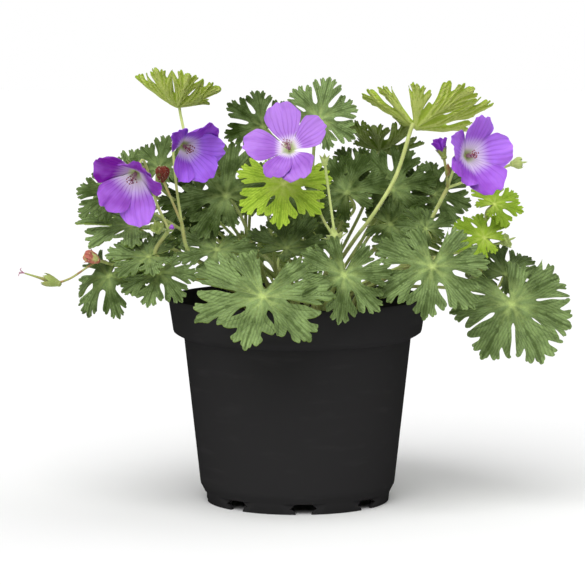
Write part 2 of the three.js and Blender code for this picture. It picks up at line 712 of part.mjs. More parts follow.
function soilSolid() {
  const p = POT;
  const innerTop = p.wallTopRadius - p.wall - GAP;
  const innerFoot = p.wallFootRadius - p.wall - GAP;
  let soil = turned(
    [
      [0, p.floorTop + GAP],
      [innerFoot - 2, p.floorTop + GAP],
      [innerFoot, 13.4],
      [innerTop - 0.1, 110.6],
      [80.6, SOIL.edge],
      [0, SOIL.crown],
    ],
    p.sides,
  );
  for (const { at, above, radius } of holes) {
    const way = above.clone().sub(at).normalize();
    const from = at.clone().addScaledVector(way, -2.5);
    const line = new THREE.LineCurve3(from, at.clone().addScaledVector(way, SOIL.holeDepth + 8));
    soil = soil.subtract(rod(line, (radius + GAP) * HOLE_EASE, SOIL.holeSides, 1));
  }
  return soil;
}

// ---------------------------------------------------------------- the plant in its pot
const geranium = new THREE.Group();
function addMesh(name, made, material) {
  const mesh = new THREE.Mesh(geometryOf(made), material);
  mesh.name = name;
  geranium.add(mesh);
}

addMesh("pot", potSolid(), BLACK_PLASTIC);
for (const [name, make] of Object.entries(STEMS)) addMesh(name, make(), STEM_GREEN);
for (const [name, plans] of Object.entries(LEAVES)) {
  addMesh(name, fused(plans.map(basalLeaf)), YOUNG.includes(name) ? YOUNG_GREEN : GREEN);
}
INNER.forEach(([x, y, z, size, azimuth, elevation, point], i) => {
  const plan = { at: [x, y, z], size, face: [azimuth, elevation], point, teeth: 0 };
  addMesh(`leaf_inner_${i + 1}`, basalLeaf(plan), GREEN);
});
joined(backLeaves().map(basalLeaf)).forEach((leaves, i) => {
  addMesh(`leaves_back_${i + 1}`, leaves, BLUE_GREEN);
});
for (const [name, plan] of Object.entries(FLOWERS)) {
  addMesh(`${name}_petals`, corolla(plan), VIOLET);
  addMesh(`${name}_heart`, heartSolid(plan), HEART_RED);
}
addMesh("bud_violet", turnedAlong(FURLED, 8, vec(...BUD.seat), BUD.way), VIOLET);
addMesh("soil", soilSolid(), PEAT);

export default geranium;
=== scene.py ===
# %% [markdown]
# # A hardy geranium in its nursery pot
# The plant is one crown of long leaf stalks and branching flower stems, standing in black plastic. Its
# solids fix where everything is. This lesson gives each of them its true surface: veined and toothed
# leaves, thin petals, hairy stems, satin plastic. Each piece is made anew on the same lines and rules as
# its solid, so nothing has to be fitted afterwards. Shapes are worked out in millimetres and turn into
# metres when their mesh is made; the camera, and what goes into Geometry Nodes, is in metres from the
# start.

import math

import bmesh
import bpy
import numpy as np
from mathutils import Matrix, Vector
from mathutils.geometry import delaunay_2d_cdt


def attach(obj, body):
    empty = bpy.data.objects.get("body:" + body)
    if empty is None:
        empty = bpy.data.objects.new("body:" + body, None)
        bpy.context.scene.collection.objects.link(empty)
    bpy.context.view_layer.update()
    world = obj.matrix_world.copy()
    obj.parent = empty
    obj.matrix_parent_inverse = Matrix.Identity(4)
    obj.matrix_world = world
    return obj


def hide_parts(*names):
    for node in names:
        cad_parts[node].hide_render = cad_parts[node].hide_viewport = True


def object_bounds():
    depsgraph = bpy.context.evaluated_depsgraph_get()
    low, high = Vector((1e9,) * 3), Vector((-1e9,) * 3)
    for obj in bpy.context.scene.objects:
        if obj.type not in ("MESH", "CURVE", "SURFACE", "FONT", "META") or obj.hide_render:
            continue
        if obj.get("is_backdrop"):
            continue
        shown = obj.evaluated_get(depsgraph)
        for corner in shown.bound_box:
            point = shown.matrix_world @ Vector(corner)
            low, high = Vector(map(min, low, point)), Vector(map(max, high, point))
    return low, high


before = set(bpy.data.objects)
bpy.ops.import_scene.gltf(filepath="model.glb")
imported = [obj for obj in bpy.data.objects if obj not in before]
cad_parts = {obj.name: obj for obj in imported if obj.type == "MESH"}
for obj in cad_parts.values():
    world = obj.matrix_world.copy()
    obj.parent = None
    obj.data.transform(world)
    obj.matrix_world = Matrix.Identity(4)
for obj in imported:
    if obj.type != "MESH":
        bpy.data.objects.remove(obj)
bpy.context.view_layer.update()
CAD_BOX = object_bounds()
MM = 0.001
print(len(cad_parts), "solids, box", [round(v / MM, 1) for corner in CAD_BOX for v in corner])

# %% [markdown]
# ## Camera, floor and light
# A plant portrait is taken from far off with a long lens, so near and far leaves keep their size. The
# camera stands two metres away, a little above the leaves, and looks slightly down. The light is a plain
# studio's: a broad lamp high in front on the left, a weaker one from the right behind, both so far off
# that they light the floor evenly, and a white room that glows from above and hardly from the sides, so
# that the plant stays deep inside and black plastic stays black.

# %% Camera, floor and light
CAMERA = {"place": (-0.0033, -2.0, 0.36), "pitch": -6.35, "lens": 188.2}
LAMPS = {
    "lamp_key": {"from": (-0.35, -1.15, 1.3), "spread": 60, "strength": 2.8},
    "lamp_fill": {"from": (0.9, 0.3, 1.0), "spread": 70, "strength": 0.6},
}
ROOM = {"seen": 1.0, "beside": 0.08, "above": 0.62}  # its brightness to the eye, and as light from two ways


def in_scene(name, data):
    thing = bpy.data.objects.new(name, data)
    bpy.context.collection.objects.link(thing)
    return thing


def studio():
    camera = in_scene("camera", bpy.data.cameras.new("camera"))
    camera.location = CAMERA["place"]
    camera.rotation_euler = (math.radians(90 + CAMERA["pitch"]), 0, 0)
    camera.data.lens = CAMERA["lens"]
    camera.data.clip_end = 20
    bpy.context.scene.camera = camera
    for name, lamp in LAMPS.items():
        light = bpy.data.lights.new(name, "SUN")
        light.angle = math.radians(lamp["spread"])
        light.energy = lamp["strength"]
        in_scene(name, light).rotation_euler = Vector(lamp["from"]).to_track_quat("Z", "Y").to_euler()
    world = bpy.data.worlds.new("white_room")
    world.use_nodes = True
    tree = world.node_tree
    way, parts = tree.nodes.new("ShaderNodeTexCoord"), tree.nodes.new("ShaderNodeSeparateXYZ")
    ray, glow, room = (tree.nodes.new(f"ShaderNode{kind}") for kind in ("LightPath", "MapRange", "MapRange"))
    glow.inputs["To Min"].default_value, glow.inputs["To Max"].default_value = ROOM["beside"], ROOM["above"]
    room.inputs["To Max"].default_value = ROOM["seen"]
    tree.links.new(way.outputs["Generated"], parts.inputs[0])
    tree.links.new(parts.outputs["Z"], glow.inputs["Value"])
    tree.links.new(glow.outputs[0], room.inputs["To Min"])
    tree.links.new(ray.outputs["Is Camera Ray"], room.inputs["Value"])
    tree.links.new(room.outputs[0], tree.nodes["Background"].inputs["Strength"])
    tree.nodes["Background"].inputs["Color"].default_value = (1, 1, 1, 1)
    bpy.context.scene.world = world
    bpy.context.scene.view_settings.view_transform = "Standard"


studio()
print("camera", CAMERA, "lamps", list(LAMPS))

# %% [markdown]
# ## Finishes
# A finish is a small tree of nodes. Every piece carries a colour attribute called look with four values at
# each point: how near a vein it is (or how far across a petal), how far along, whether it is the
# underside, and how light the whole leaf is. That lightness is partly the leaf's own and partly painted
# shade, low on leaves deep in the bush; on petals it is partly painted light and shade too. The trees read
# these four, so a vein stays on its vein when a leaf bends. Wiring each sum by hand hides the formula, so a
# wire here is a value that can be added and multiplied.

# %% Helpers for node trees
class Wire:
    """What comes out of a node. A sum or a product of wires adds the node that works it out."""

    def __init__(self, socket):
        self.socket, self.tree = socket, socket.id_data

    def math(self, operation, *values, clamp=False):
        inputs = dict(enumerate(values))
        return out_of(self.tree, "ShaderNodeMath", 0, inputs, operation=operation, use_clamp=clamp)

    def __add__(self, other):
        return self.math("ADD", self, other)

    def __sub__(self, other):
        return self.math("SUBTRACT", self, other)

    def __rsub__(self, other):
        return self.math("SUBTRACT", other, self)

    def __mul__(self, other):
        return self.math("MULTIPLY", self, other)

    def __rtruediv__(self, other):
        return self.math("DIVIDE", other, self)

    def plus(self, other):
        """The sum, kept between 0 and 1."""
        return self.math("ADD", self, other, clamp=True)

    def sine(self):
        return self.math("SINE", self)

    def eased(self, low, high, to_low=0.0, to_high=1.0):
        """Runs softly from to_low to to_high while the wire runs from low to high."""
        inputs = dict(enumerate((self, low, high, to_low, to_high)))
        return out_of(self.tree, "ShaderNodeMapRange", 0, inputs, interpolation_type="SMOOTHSTEP")


def plug(value, socket):
    if isinstance(value, Wire):
        socket.id_data.links.new(value.socket, socket)
    elif socket.type == "RGBA":
        socket.default_value = (*value, 1)
    else:
        socket.default_value = value


def node(tree, kind, inputs=(), **settings):
    """A node with its settings, and with values or wires for its inputs, by name or number."""
    made = tree.nodes.new(kind)
    for name, value in settings.items():
        setattr(made, name, value)
    for name, value in dict(inputs).items():
        plug(value, made.inputs[name])
    return made


def out_of(tree, kind, output, inputs=(), **settings):
    return Wire(node(tree, kind, inputs, **settings).outputs[output])


def blend(share, a, b, how="MIX"):
    tree = next(value.tree for value in (share, a, b) if isinstance(value, Wire))
    return out_of(tree, "ShaderNodeMix", 2, {0: share, 6: a, 7: b}, data_type="RGBA", blend_type=how)


def noise(tree, scale, detail=3.0, stretch=(1, 1, 1)):
    place = out_of(tree, "ShaderNodeTexCoord", "Object")
    place = out_of(tree, "ShaderNodeMapping", 0, {"Vector": place, "Scale": stretch})
    return out_of(tree, "ShaderNodeTexNoise", "Fac", {"Vector": place, "Scale": scale, "Detail": detail})


def cells(tree, scale):
    place = {"Vector": out_of(tree, "ShaderNodeTexCoord", "Object"), "Scale": scale}
    return out_of(tree, "ShaderNodeTexVoronoi", "Distance", place, feature="DISTANCE_TO_EDGE")


def look_of(tree):
    made = node(tree, "ShaderNodeAttribute", attribute_name="look")
    parts = node(tree, "ShaderNodeSeparateColor", {0: Wire(made.outputs["Color"])})
    return (*(Wire(part) for part in parts.outputs[:3]), Wire(made.outputs["Alpha"]))


BUMP = 0.6  # how much of a bump's height the light sees


def finish(name, make, **fixed):
    """A material whose tree gives colour, roughness, height and the height's depth in millimetres."""
    material = bpy.data.materials.new(name)
    material.use_nodes = True
    tree = material.node_tree
    shader = tree.nodes["Principled BSDF"]
    for socket, value in fixed.items():
        shader.inputs[socket.replace("_", " ")].default_value = value
    colour, roughness, height, deep = make(tree)
    plug(colour, shader.inputs["Base Color"])
    plug(roughness, shader.inputs["Roughness"])
    if height is not None:
        inputs = {"Strength": BUMP, "Distance": deep * MM, "Height": height}
        plug(out_of(tree, "ShaderNodeBump", 0, inputs), shader.inputs["Normal"])
    return material


# %% [markdown]
# ## Leaf green
# A geranium leaf is matt and softly hairy, grey-green above with a pale eye where the stalk comes in, and
# yellower beneath, with veins that stand out. Hairs scatter light at the edge of each form, which is what
# a little sheen does. The two sides, the veins and the eye are mixed in one tree, and only the greens
# differ.

# %% Leaf finishes
def leaf_green(dark, light, vein_green, under_green):
    def make(tree):
        vein, along, side, tone = look_of(tree)
        under = side.math("GREATER_THAN", side, 0.5)
        across = side.math("PINGPONG", side, 0.5)
        patch = noise(tree, 90).eased(0.3, 0.7) - 0.5
        # Tone is partly a leaf's own lightness and partly painted shade, low on leaves deep in the bush.
        upper = blend(tone.plus(patch * 0.5), dark, light)
        outwards = along.eased(0.15, 0.5)
        # Painted shade in fine furrows: stripes along each lobe are sunk by the bump and painted darker.
        shaded_furrows = (across * 150 + patch * 2.5).sine().eased(-0.2, 1.0) * outwards
        upper = blend(shaded_furrows * 0.28, upper, dark)
        thin_line = vein.eased(0.4, 0.95) * outwards
        upper = blend(thin_line * 0.5, upper, dark)
        pale = tone.eased(0.0, 0.8, 0.25, 1.0)
        upper = blend((1.0 - outwards) * vein * (pale * 0.36), upper, vein_green)
        eye = along.eased(0.11, 0.0) * pale
        upper = blend(eye * 0.85, upper, vein_green)
        lower = blend(vein.eased(0.05, 0.55) * 0.85, under_green, vein_green)
        shade = tone.eased(0.0, 1.0, 0.55, 1.0)
        lower = blend(1.0, lower, blend(shade, (0, 0, 0), (1, 1, 1)), "MULTIPLY")
        net = cells(tree, 480).eased(0.14, 0.0)
        whole = blend(net * 0.15, blend(under, upper, lower), dark)
        height = vein + (shaded_furrows + net * 0.35)
        return whole, patch.eased(-0.5, 0.5, 0.5, 0.64), 1.0 - height, 0.5

    return make


HAIRY = {"Sheen_Weight": 0.02, "Sheen_Roughness": 0.5, "Specular_IOR_Level": 0.1}
THIN = {"Subsurface_Weight": 0.2, "Subsurface_Radius": (0.8, 1.0, 0.3), "Subsurface_Scale": 0.0015}
LEAF = finish(
    "leaf_grey_green",
    leaf_green((0.022, 0.044, 0.001), (0.27, 0.38, 0.14), (0.5, 0.62, 0.2), (0.26, 0.38, 0.05)),
    **HAIRY, **THIN,
)
# The young green's underside is partly its own paler colour and partly painted light shining through.
YOUNG = finish(
    "leaf_young_green",
    leaf_green((0.17, 0.3, 0.014), (0.43, 0.61, 0.06), (0.7, 0.8, 0.22), (0.46, 0.6, 0.07)),
    **HAIRY, **THIN,
)
BACK = finish(
    "leaf_blue_green",
    leaf_green((0.032, 0.058, 0.001), (0.27, 0.385, 0.075), (0.42, 0.54, 0.16), (0.2, 0.3, 0.05)),
    **HAIRY, **THIN,
)
print("leaf finishes", LEAF.name, YOUNG.name, BACK.name)

# %% [markdown]
# ## Stems, petals, hearts
# Stems are pale green and flush red towards the light. A petal is white at its claw and violet from a
# third of its length on, and darker veins fan out over it; the look attribute holds how far across and
# along a point is, so the fan of lines is a sine of the first, wobbled by noise. Anthers are dull wine
# red.

# %% Stem, petal and heart finishes
def stem_green(tree):
    flush, _, _, tone = look_of(tree)
    green = blend(tone, (0.13, 0.2, 0.03), (0.66, 0.76, 0.28))
    streaks = noise(tree, 260, stretch=(1, 1, 0.12)).eased(0.4, 0.62)
    green = blend(streaks * 0.3, green, (0.2, 0.3, 0.06))
    red = blend(tone, (0.13, 0.02, 0.012), (0.5, 0.16, 0.12))
    share = flush.math("MULTIPLY", flush, noise(tree, 160).eased(0.3, 0.7), clamp=True)
    return blend(share, green, red), 0.5, streaks, 0.1


def petal_violet(deep, pale, streak, eye):
    def make(tree):
        across, along, under, tone = look_of(tree)
        wobble = (noise(tree, 120) - 0.5) * 0.12
        swing = (across + wobble) * (2 * math.pi * 7)
        lines = swing.sine().eased(0.4, 1.0)
        fine = (swing * 2.6).sine().eased(0.3, 1.0)
        fan = (lines * along.eased(0.95, 0.3, 0.1, 0.65)).plus(fine * 0.12)
        cloud = noise(tree, 75, detail=2.0).eased(0.3, 0.7) - 0.5
        # Tone carries each petal's paleness, which is partly painted light and shade.
        body = blend(tone.plus(cloud * 0.5), deep, pale)
        body = blend(fan * 0.55, body, streak)
        white = (along + lines * 0.06).eased(eye, 0.15) * tone.eased(-0.4, 0.5)
        body = blend(white, body, (0.8, 0.72, 0.86))
        body = blend(along.eased(0.2, 0.04), body, (0.5, 0.6, 0.28))
        body = blend(under * (tone * 0.5), body, pale)
        return body, 0.6, fan, 0.12

    return make


def spotted(scale, low, high, one, other, rough, deep):
    """Small spots of two colours, for the parts of a flower's heart."""

    def make(tree):
        spots = noise(tree, scale).eased(low, high)
        return blend(spots, one, other), rough, spots, deep

    return make


SILKY = {"Sheen_Weight": 0.01, "Sheen_Roughness": 0.4, "Specular_IOR_Level": 0.16}
STALK = finish("stem_pale_green", stem_green, **HAIRY)
PETAL_TINTS = {  # the deep and the pale violet, the veins, and how far out the white eye reaches
    "flower_left": ((0.19, 0.004, 0.33), (0.46, 0.18, 0.8), (0.13, 0.004, 0.28), 0.55),
    "flower_upper_left": ((0.2, 0.02, 0.42), (0.38, 0.15, 0.8), (0.1, 0.008, 0.3), 0.5),
    "flower_middle": ((0.22, 0.045, 0.42), (0.44, 0.21, 0.7), (0.15, 0.02, 0.32), 0.34),
    "flower_right": ((0.23, 0.035, 0.44), (0.44, 0.18, 0.8), (0.14, 0.015, 0.34), 0.55),
}
PETALS = {name: finish(f"petal_{name}", petal_violet(*tint), **SILKY, **THIN)
          for name, tint in PETAL_TINTS.items()}
RED, DULL, PALE = (
    spotted(900, 0.4, 0.6, (0.12, 0.012, 0.03), (0.33, 0.06, 0.09), 0.6, 0.08),
    spotted(900, 0.4, 0.6, (0.3, 0.1, 0.2), (0.5, 0.28, 0.36), 0.6, 0.08),
    spotted(500, 0.3, 0.7, (0.3, 0.08, 0.16), (0.6, 0.38, 0.45), 0.5, 0.05),
)
ANTHER = finish("anther_wine_red", RED)
PALE_ANTHER = finish("anther_dull_pink", DULL)
FILAMENT = finish("filament_pink", PALE)
print("petal finishes", len(PETALS))

# %% [markdown]
# ## Plastic and peat
# A blow-moulded pot is black with a satin face: fine moulding grain and a few dull scuffs. Peat is
# nearly black when moist and paler where it has dried, with fibres and crumbs.

# %% Pot, soil and hair finishes
def black_plastic(tree):
    grain = noise(tree, 1400, detail=2.0)
    scuffs = noise(tree, 30, stretch=(1, 1, 5)).eased(0.55, 0.75)
    colour = blend(scuffs * 0.4, (0.023, 0.0225, 0.023), (0.032, 0.031, 0.032))
    return colour, scuffs * 0.12 + 0.5, grain, 0.05


def peat(tree):
    damp = noise(tree, 60).eased(0.35, 0.65)
    grit = noise(tree, 700, detail=6.0).eased(0.35, 0.7)
    colour = blend(damp, (0.012, 0.008, 0.006), (0.04, 0.024, 0.014))
    return blend(grit * 0.4, colour, (0.1, 0.06, 0.035)), 0.95, grit, 0.5


def hair_white(tree):
    return blend(noise(tree, 300), (0.6, 0.68, 0.45), (0.75, 0.8, 0.6)), 0.5, None, 0


PLASTIC = finish("pot_black_satin", black_plastic, Specular_IOR_Level=0.0)
PEAT = finish("peat_moist", peat, Specular_IOR_Level=0.2)
HAIR = finish("hair_pale", hair_white)
print("pot, soil and hair finishes made")

# %% [markdown]
# ## From points to a piece
# Leaves, petals and stems are all worked out as arrays of points and triangles, because a few formulas
# give thousands of points at once. A shape gathers these with the look values and a finish for each
# triangle, and becomes one closed mesh that stands for its solid. Edges sharper than 50 degrees keep their
# crease.

# %% Shapes and pieces
def looks(*four):
    """The four look values of each point, from numbers for all points or arrays of one number each."""
    return np.stack(np.broadcast_arrays(*four), axis=1)


class Shape:
    def __init__(self):
        self.points, self.triangles, self.looks, self.skins, self.count = [], [], [], [], 0

    def add(self, points, triangles, look, skin):
        self.points.append(points)
        self.triangles.append(np.asarray(triangles) + self.count)
        self.looks.append(np.broadcast_to(look, (len(points), 4)))
        self.skins += [skin] * len(triangles)
        self.count += len(points)


def mesh_of(name, shape):
    skins = list(dict.fromkeys(shape.skins))
    points = np.concatenate(shape.points) * MM
    triangles = np.concatenate(shape.triangles).astype(np.int32)
    mesh = bpy.data.meshes.new(name)
    mesh.vertices.add(len(points))
    mesh.vertices.foreach_set("co", points.ravel())
    mesh.loops.add(triangles.size)
    mesh.loops.foreach_set("vertex_index", triangles.ravel())
    mesh.polygons.add(len(triangles))
    mesh.polygons.foreach_set("loop_start", np.arange(0, triangles.size, 3, dtype=np.int32))
    mesh.polygons.foreach_set("material_index", [skins.index(skin) for skin in shape.skins])
    mesh.polygons.foreach_set("use_smooth", [True] * len(triangles))
    mesh.update(calc_edges=True)
    look = mesh.attributes.new("look", "FLOAT_COLOR", "POINT")
    look.data.foreach_set("color", np.concatenate(shape.looks).astype(np.float32).ravel())
    mesh.set_sharp_from_angle(angle=math.radians(50))
    for skin in skins:
        mesh.materials.append(skin)
    return mesh


def settle(thing, node_name):
    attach(thing, "root")
    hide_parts(node_name)
    return thing


def piece(name, shape):
    """The finished piece of that name, in place of the solid whose name it carries."""
    return settle(in_scene(name, mesh_of(name, shape)), name.removesuffix("_fine"))


# %% [markdown]
# ## Directions and curves
# Everything that faces a way has an azimuth, an elevation and a clock angle, as a compass and a watch give
# them. Stalks follow a curve through a few places, rounded so that it never loops between them.

# %% Directions and curves
def point(*values):
    return np.array(values, dtype=float)


def unit(way):
    return way / np.linalg.norm(way)


def beside(way):
    """Up, or +X for a way that is nearly upright itself."""
    return point(0, 0, 1) if abs(unit(way)[2]) < 0.9 else point(1, 0, 0)


def swung(turn, one, other):
    """The directions at these angles from one towards the other."""
    return np.outer(np.cos(turn), one) + np.outer(np.sin(turn), other)


def evenly(line, count=0, step=1.0):
    """Places equally far apart along a line of straight stretches: so many, or about a step apart."""
    run = np.concatenate([[0], np.cumsum(np.linalg.norm(np.diff(line, axis=0), axis=1))])
    places = np.linspace(0, run[-1], count or max(2, int(run[-1] / step) + 1))
    return np.stack([np.interp(places, run, column) for column in line.T], axis=1)


def facing(azimuth, elevation, clock):
    """Where a thing faces, where its clock's hand points, and the direction to the left of the hand."""
    az, el, turn = math.radians(azimuth), math.radians(elevation), math.radians(clock)
    out = point(math.cos(el) * math.sin(az), -math.cos(el) * math.cos(az), math.sin(el))
    right = point(math.cos(az), math.sin(az), 0)
    up = np.cross(out, right)
    ahead = up * math.cos(turn) + right * math.sin(turn)
    return out, ahead, np.cross(out, ahead)


def rounded(places, steps):
    """Equally spaced points on the centripetal curve through the places."""
    p = [np.asarray(q, dtype=float) for q in places]
    p = [2 * p[0] - p[1], *p, 2 * p[-1] - p[-2]]
    line = []
    for a, b, c, d in zip(p, p[1:], p[2:], p[3:]):
        da, db, dc = (max(np.linalg.norm(v - u), 1e-6) ** 0.5 for u, v in ((a, b), (b, c), (c, d)))
        leave = ((b - a) / da - (c - a) / (da + db) + (c - b) / db) * db
        arrive = ((c - b) / db - (d - b) / (db + dc) + (d - c) / dc) * db
        t = np.linspace(0, 1, 25)[:, None]
        cubic = 2 * b - 2 * c + leave + arrive
        square = -3 * b + 3 * c - 2 * leave - arrive
        line.append(b + leave * t + square * t**2 + cubic * t**3)
    return evenly(np.concatenate(line), steps + 1)


def rings(line, radii, sides):
    """Points of rings round a line, each turned as little as it can be from the one before."""
    ways = np.gradient(line, axis=0)
    side = np.cross(ways[0], beside(ways[0]))
    turn = np.arange(sides) * 2 * math.pi / sides
    made = []
    for place, way, radius in zip(line, ways, radii):
        way = unit(way)
        side = unit(side - way * side.dot(way))
        made.append(place + radius * swung(turn, side, np.cross(way, side)))
    return np.concatenate(made)


def ring_triangles(count, sides):
    """Triangles between neighbouring rings, and fans that close the two ends at their last two points."""
    made = []
    for i in range(count - 1):
        for k in range(sides):
            a, b = i * sides + k, i * sides + (k + 1) % sides
            made += [(a, b, b + sides), (a, b + sides, a + sides)]
    first, last, top = count * sides, count * sides + 1, (count - 1) * sides
    made += [(first, (k + 1) % sides, k) for k in range(sides)]
    made += [(last, top + k, top + (k + 1) % sides) for k in range(sides)]
    return made


def tube(shape, line, radii, skin, tone=0.6, flush=0.0, sides=10):
    radii = np.interp(np.linspace(0, 1, len(line)), np.linspace(0, 1, len(radii)), radii)
    points = np.concatenate([rings(line, radii, sides), line[[0, -1]]])
    along = np.append(np.repeat(np.linspace(0, 1, len(line)), sides), [0, 1])
    shape.add(points, ring_triangles(len(line), sides), looks(flush, along, 0, tone), skin)


def turned(shape, profile, at, way, skin, sides=20, flute=0.0, folds=5, twist=0.0, tone=0.5, flush=(0, 0)):
    """A body turned about a way from [radius, height] pairs, with soft folds round it."""
    way = unit(way)
    side = unit(np.cross(way, beside(way)))
    turn = np.arange(sides) * 2 * math.pi / sides
    away = swung(turn, side, np.cross(way, side))
    rows, heights = [], [h for _, h in profile[1:-1]]
    for r, h in profile[1:-1]:
        folded = r * (1 - flute * (0.5 + 0.5 * np.cos(folds * turn + twist * h)))
        rows.append(at + way * h + folded[:, None] * away)
    ends = np.stack([at + way * profile[0][1], at + way * profile[-1][1]])
    low, high = profile[0][1], profile[-1][1]
    along = (np.append(np.repeat(heights, sides), [low, high]) - low) / (high - low)
    look = looks(np.interp(along, (0, 1), flush), along, 0, tone)
    shape.add(np.concatenate([*rows, ends]), ring_triangles(len(rows), sides), look, skin)


def seeded(seed):
    """Numbers from 0 to 1 that follow from the seed alone."""
    state = seed
    while True:
        state = state * 16807 % 2147483647
        yield state / 2147483647


print("curve helpers ready")

# %% [markdown]
# ## The pot
# A nursery pot is a shell of even thickness: a straight wall with a little draft, a rim that stands out
# over a dark groove, and a foot ring with eight drainage notches. Turning a profile round the axis gives
# the shell; the notches are cut with a Boolean, because they cross several faces at once.

# %% The pot
POT = {"height": 135, "rim": 85, "low": 108.4, "top": 74.7, "foot": 64, "ring": 60.4, "wall": 1.6}
NOTCH = {"count": 8, "turn": -86.3, "wide": 28, "high": 7, "inset": 1.3, "mouth": 10, "flare": 9}
SLOT = {"wide": 12, "low": 7, "high": 11, "near": 48, "far": 55}
FLOOR = {"under": 8, "top": 10}
ROUND = 160  # faces round the pot


def lathe(profile, sides):
    """A ring-shaped or solid mesh turned about +Z; points on the axis become one."""
    turn = np.arange(sides) * 2 * math.pi / sides
    rows, points = [], []
    for r, h in profile:
        count = 1 if r == 0 else sides
        rows.append(list(range(len(points), len(points) + count)))
        points += [(r * math.cos(a), r * math.sin(a), h) for a in turn[:count]]
    faces = []
    for low, high in zip(rows, rows[1:]):
        for k in range(sides):
            n = (k + 1) % sides
            quad = [low[k % len(low)], low[n % len(low)], high[n % len(high)], high[k % len(high)]]
            faces.append(list(dict.fromkeys(quad)))
    return points, faces


def solid_object(name, points, faces):
    mesh = bpy.data.meshes.new(name)
    mesh.from_pydata([tuple(c * MM for c in p) for p in points], [], faces)
    tidy = bmesh.new()
    tidy.from_mesh(mesh)
    bmesh.ops.remove_doubles(tidy, verts=tidy.verts, dist=1e-7)
    bmesh.ops.recalc_face_normals(tidy, faces=tidy.faces)
    tidy.to_mesh(mesh)
    tidy.free()
    return in_scene(name, mesh)


def baked(thing):
    """Keeps what a thing's modifiers make of it as its plain mesh."""
    graph = bpy.context.evaluated_depsgraph_get()
    mesh = bpy.data.meshes.new_from_object(thing.evaluated_get(graph))
    thing.modifiers.clear()
    thing.data = mesh
    return thing


def prism(outline, near, far, turn):
    """An outline of [across, height] drawn outwards from near to far, turned about +Z."""
    c, s = math.cos(math.radians(turn)), math.sin(math.radians(turn))
    ends = [[(c * r - s * y, s * r + c * y, z) for y, z in outline] for r in (near, far)]
    n = len(outline)
    faces = [list(range(n)), list(range(2 * n - 1, n - 1, -1))]
    faces += [[i, (i + 1) % n, n + (i + 1) % n, n + i] for i in range(n)]
    return ends[0] + ends[1], faces


def cheeks():
    """The opening of a notch: straight above, flaring in quarter rounds to the ground."""
    half, flare, tall, bend = NOTCH["mouth"] / 2, NOTCH["flare"], 3.5, 4
    arc = np.linspace(math.pi / 2, 0, 7)
    right = [(half + (flare - half) * (1 - math.cos(a)), tall - bend * (1 - math.sin(a))) for a in arc]
    right = [(half, NOTCH["high"]), *right, (flare, -1)]
    return [(-y, z) for y, z in right] + right[::-1]


def box_outline(wide, low, high):
    return [(-wide / 2, low), (-wide / 2, high), (wide / 2, high), (wide / 2, low)]


def make_pot():
    ring, foot, top, rim = (POT[name] for name in ("ring", "foot", "top", "rim"))
    low, under, floor = POT["low"], FLOOR["under"], FLOOR["top"]
    inner, bore = top - POT["wall"], foot - POT["wall"]
    profile = [
        (0, under), (ring - 3.4, under), (ring - 3, 0.3), (ring - 2.6, 0), (ring - 0.5, 0), (ring, 0.5),
        (ring + 0.9, 6.3), (ring + 1.4, 7.4), (foot - 0.7, 10.4), (foot, 11.5), (foot + 0.4, 14),
        (top - 0.9, 100), (top, low), (top + 1, low + 0.5), (80.2, 111.4), (81.4, 112.3), (81.9, 113.6),
        (84.6, 131.5), (rim, 133.8), (rim - 0.3, 134.7), (rim - 0.9, POT["height"]), (rim - 1.5, 134.6),
        (rim - 1.9, 133.5), (80.2, 114.4), (79.6, 113.4), (inner + 0.4, 110.6), (inner, 108.8),
        (bore, 12.6), (bore - 1.6, floor), (0, floor),
    ]
    pot = solid_object("pot_fine", *lathe(profile, ROUND))
    points, faces = [], []
    for i in range(NOTCH["count"]):
        turn = NOTCH["turn"] + i * 360 / NOTCH["count"]
        cuts = [
            prism(box_outline(NOTCH["wide"], -1, NOTCH["high"]), ring - NOTCH["inset"] + 0.6, 70, turn),
            prism(cheeks(), 54, 66, turn + 0.01),
            prism(box_outline(SLOT["wide"], SLOT["low"], SLOT["high"]), SLOT["near"], SLOT["far"], turn),
        ]
        for extra, sides in cuts:
            faces += [[len(points) + k for k in side] for side in sides]
            points += extra
    cutter = solid_object("pot_cutter", points, faces)
    cut = pot.modifiers.new("notches", "BOOLEAN")
    cut.object, cut.operation, cut.solver = cutter, "DIFFERENCE", "EXACT"
    cut.use_self = True
    mesh = baked(pot).data
    bpy.data.objects.remove(cutter)
    mesh.materials.clear()
    mesh.materials.append(PLASTIC)
    mesh.polygons.foreach_set("use_smooth", [True] * len(mesh.polygons))
    mesh.set_sharp_from_angle(angle=math.radians(40))
    settle(pot, "pot")
    return pot


pot = make_pot()
print("pot", len(pot.data.polygons), "faces")

# %% [markdown]
# ## Geometry Nodes
# What is small and repeats (crumbs, stamens, hairs) is left to Geometry Nodes. Points are scattered or set
# in a ring, one small mesh is copied to each, and the copies are made real. These trees are built with the
# same wires as the finishes, and a piece that has run through its tree keeps the result as a plain mesh.

# %% Helpers for Geometry Nodes
def new_tree(title, **kinds):
    """A tree that takes a geometry and the inputs of these kinds, and its inputs as wires."""
    tree = bpy.data.node_groups.new(title, "GeometryNodeTree")
    kinds = {"Geometry": "Geometry", **kinds}
    for name, kind in kinds.items():
        tree.interface.new_socket(name, in_out="INPUT", socket_type=f"NodeSocket{kind}")
    tree.interface.new_socket("Geometry", in_out="OUTPUT", socket_type="NodeSocketGeometry")
    start = node(tree, "NodeGroupInput")
    return tree, {name: Wire(start.outputs[name]) for name in kinds}


def scatter(tree, given, on):
    """Points at random over the chosen faces, and how a thing that stands on each is turned."""
    inputs = {"Mesh": given["Geometry"], "Selection": on, "Density": given["Density"], "Seed": given["Seed"]}
    made = node(tree, "GeometryNodeDistributePointsOnFaces", inputs)
    return Wire(made.outputs["Points"]), Wire(made.outputs["Rotation"])


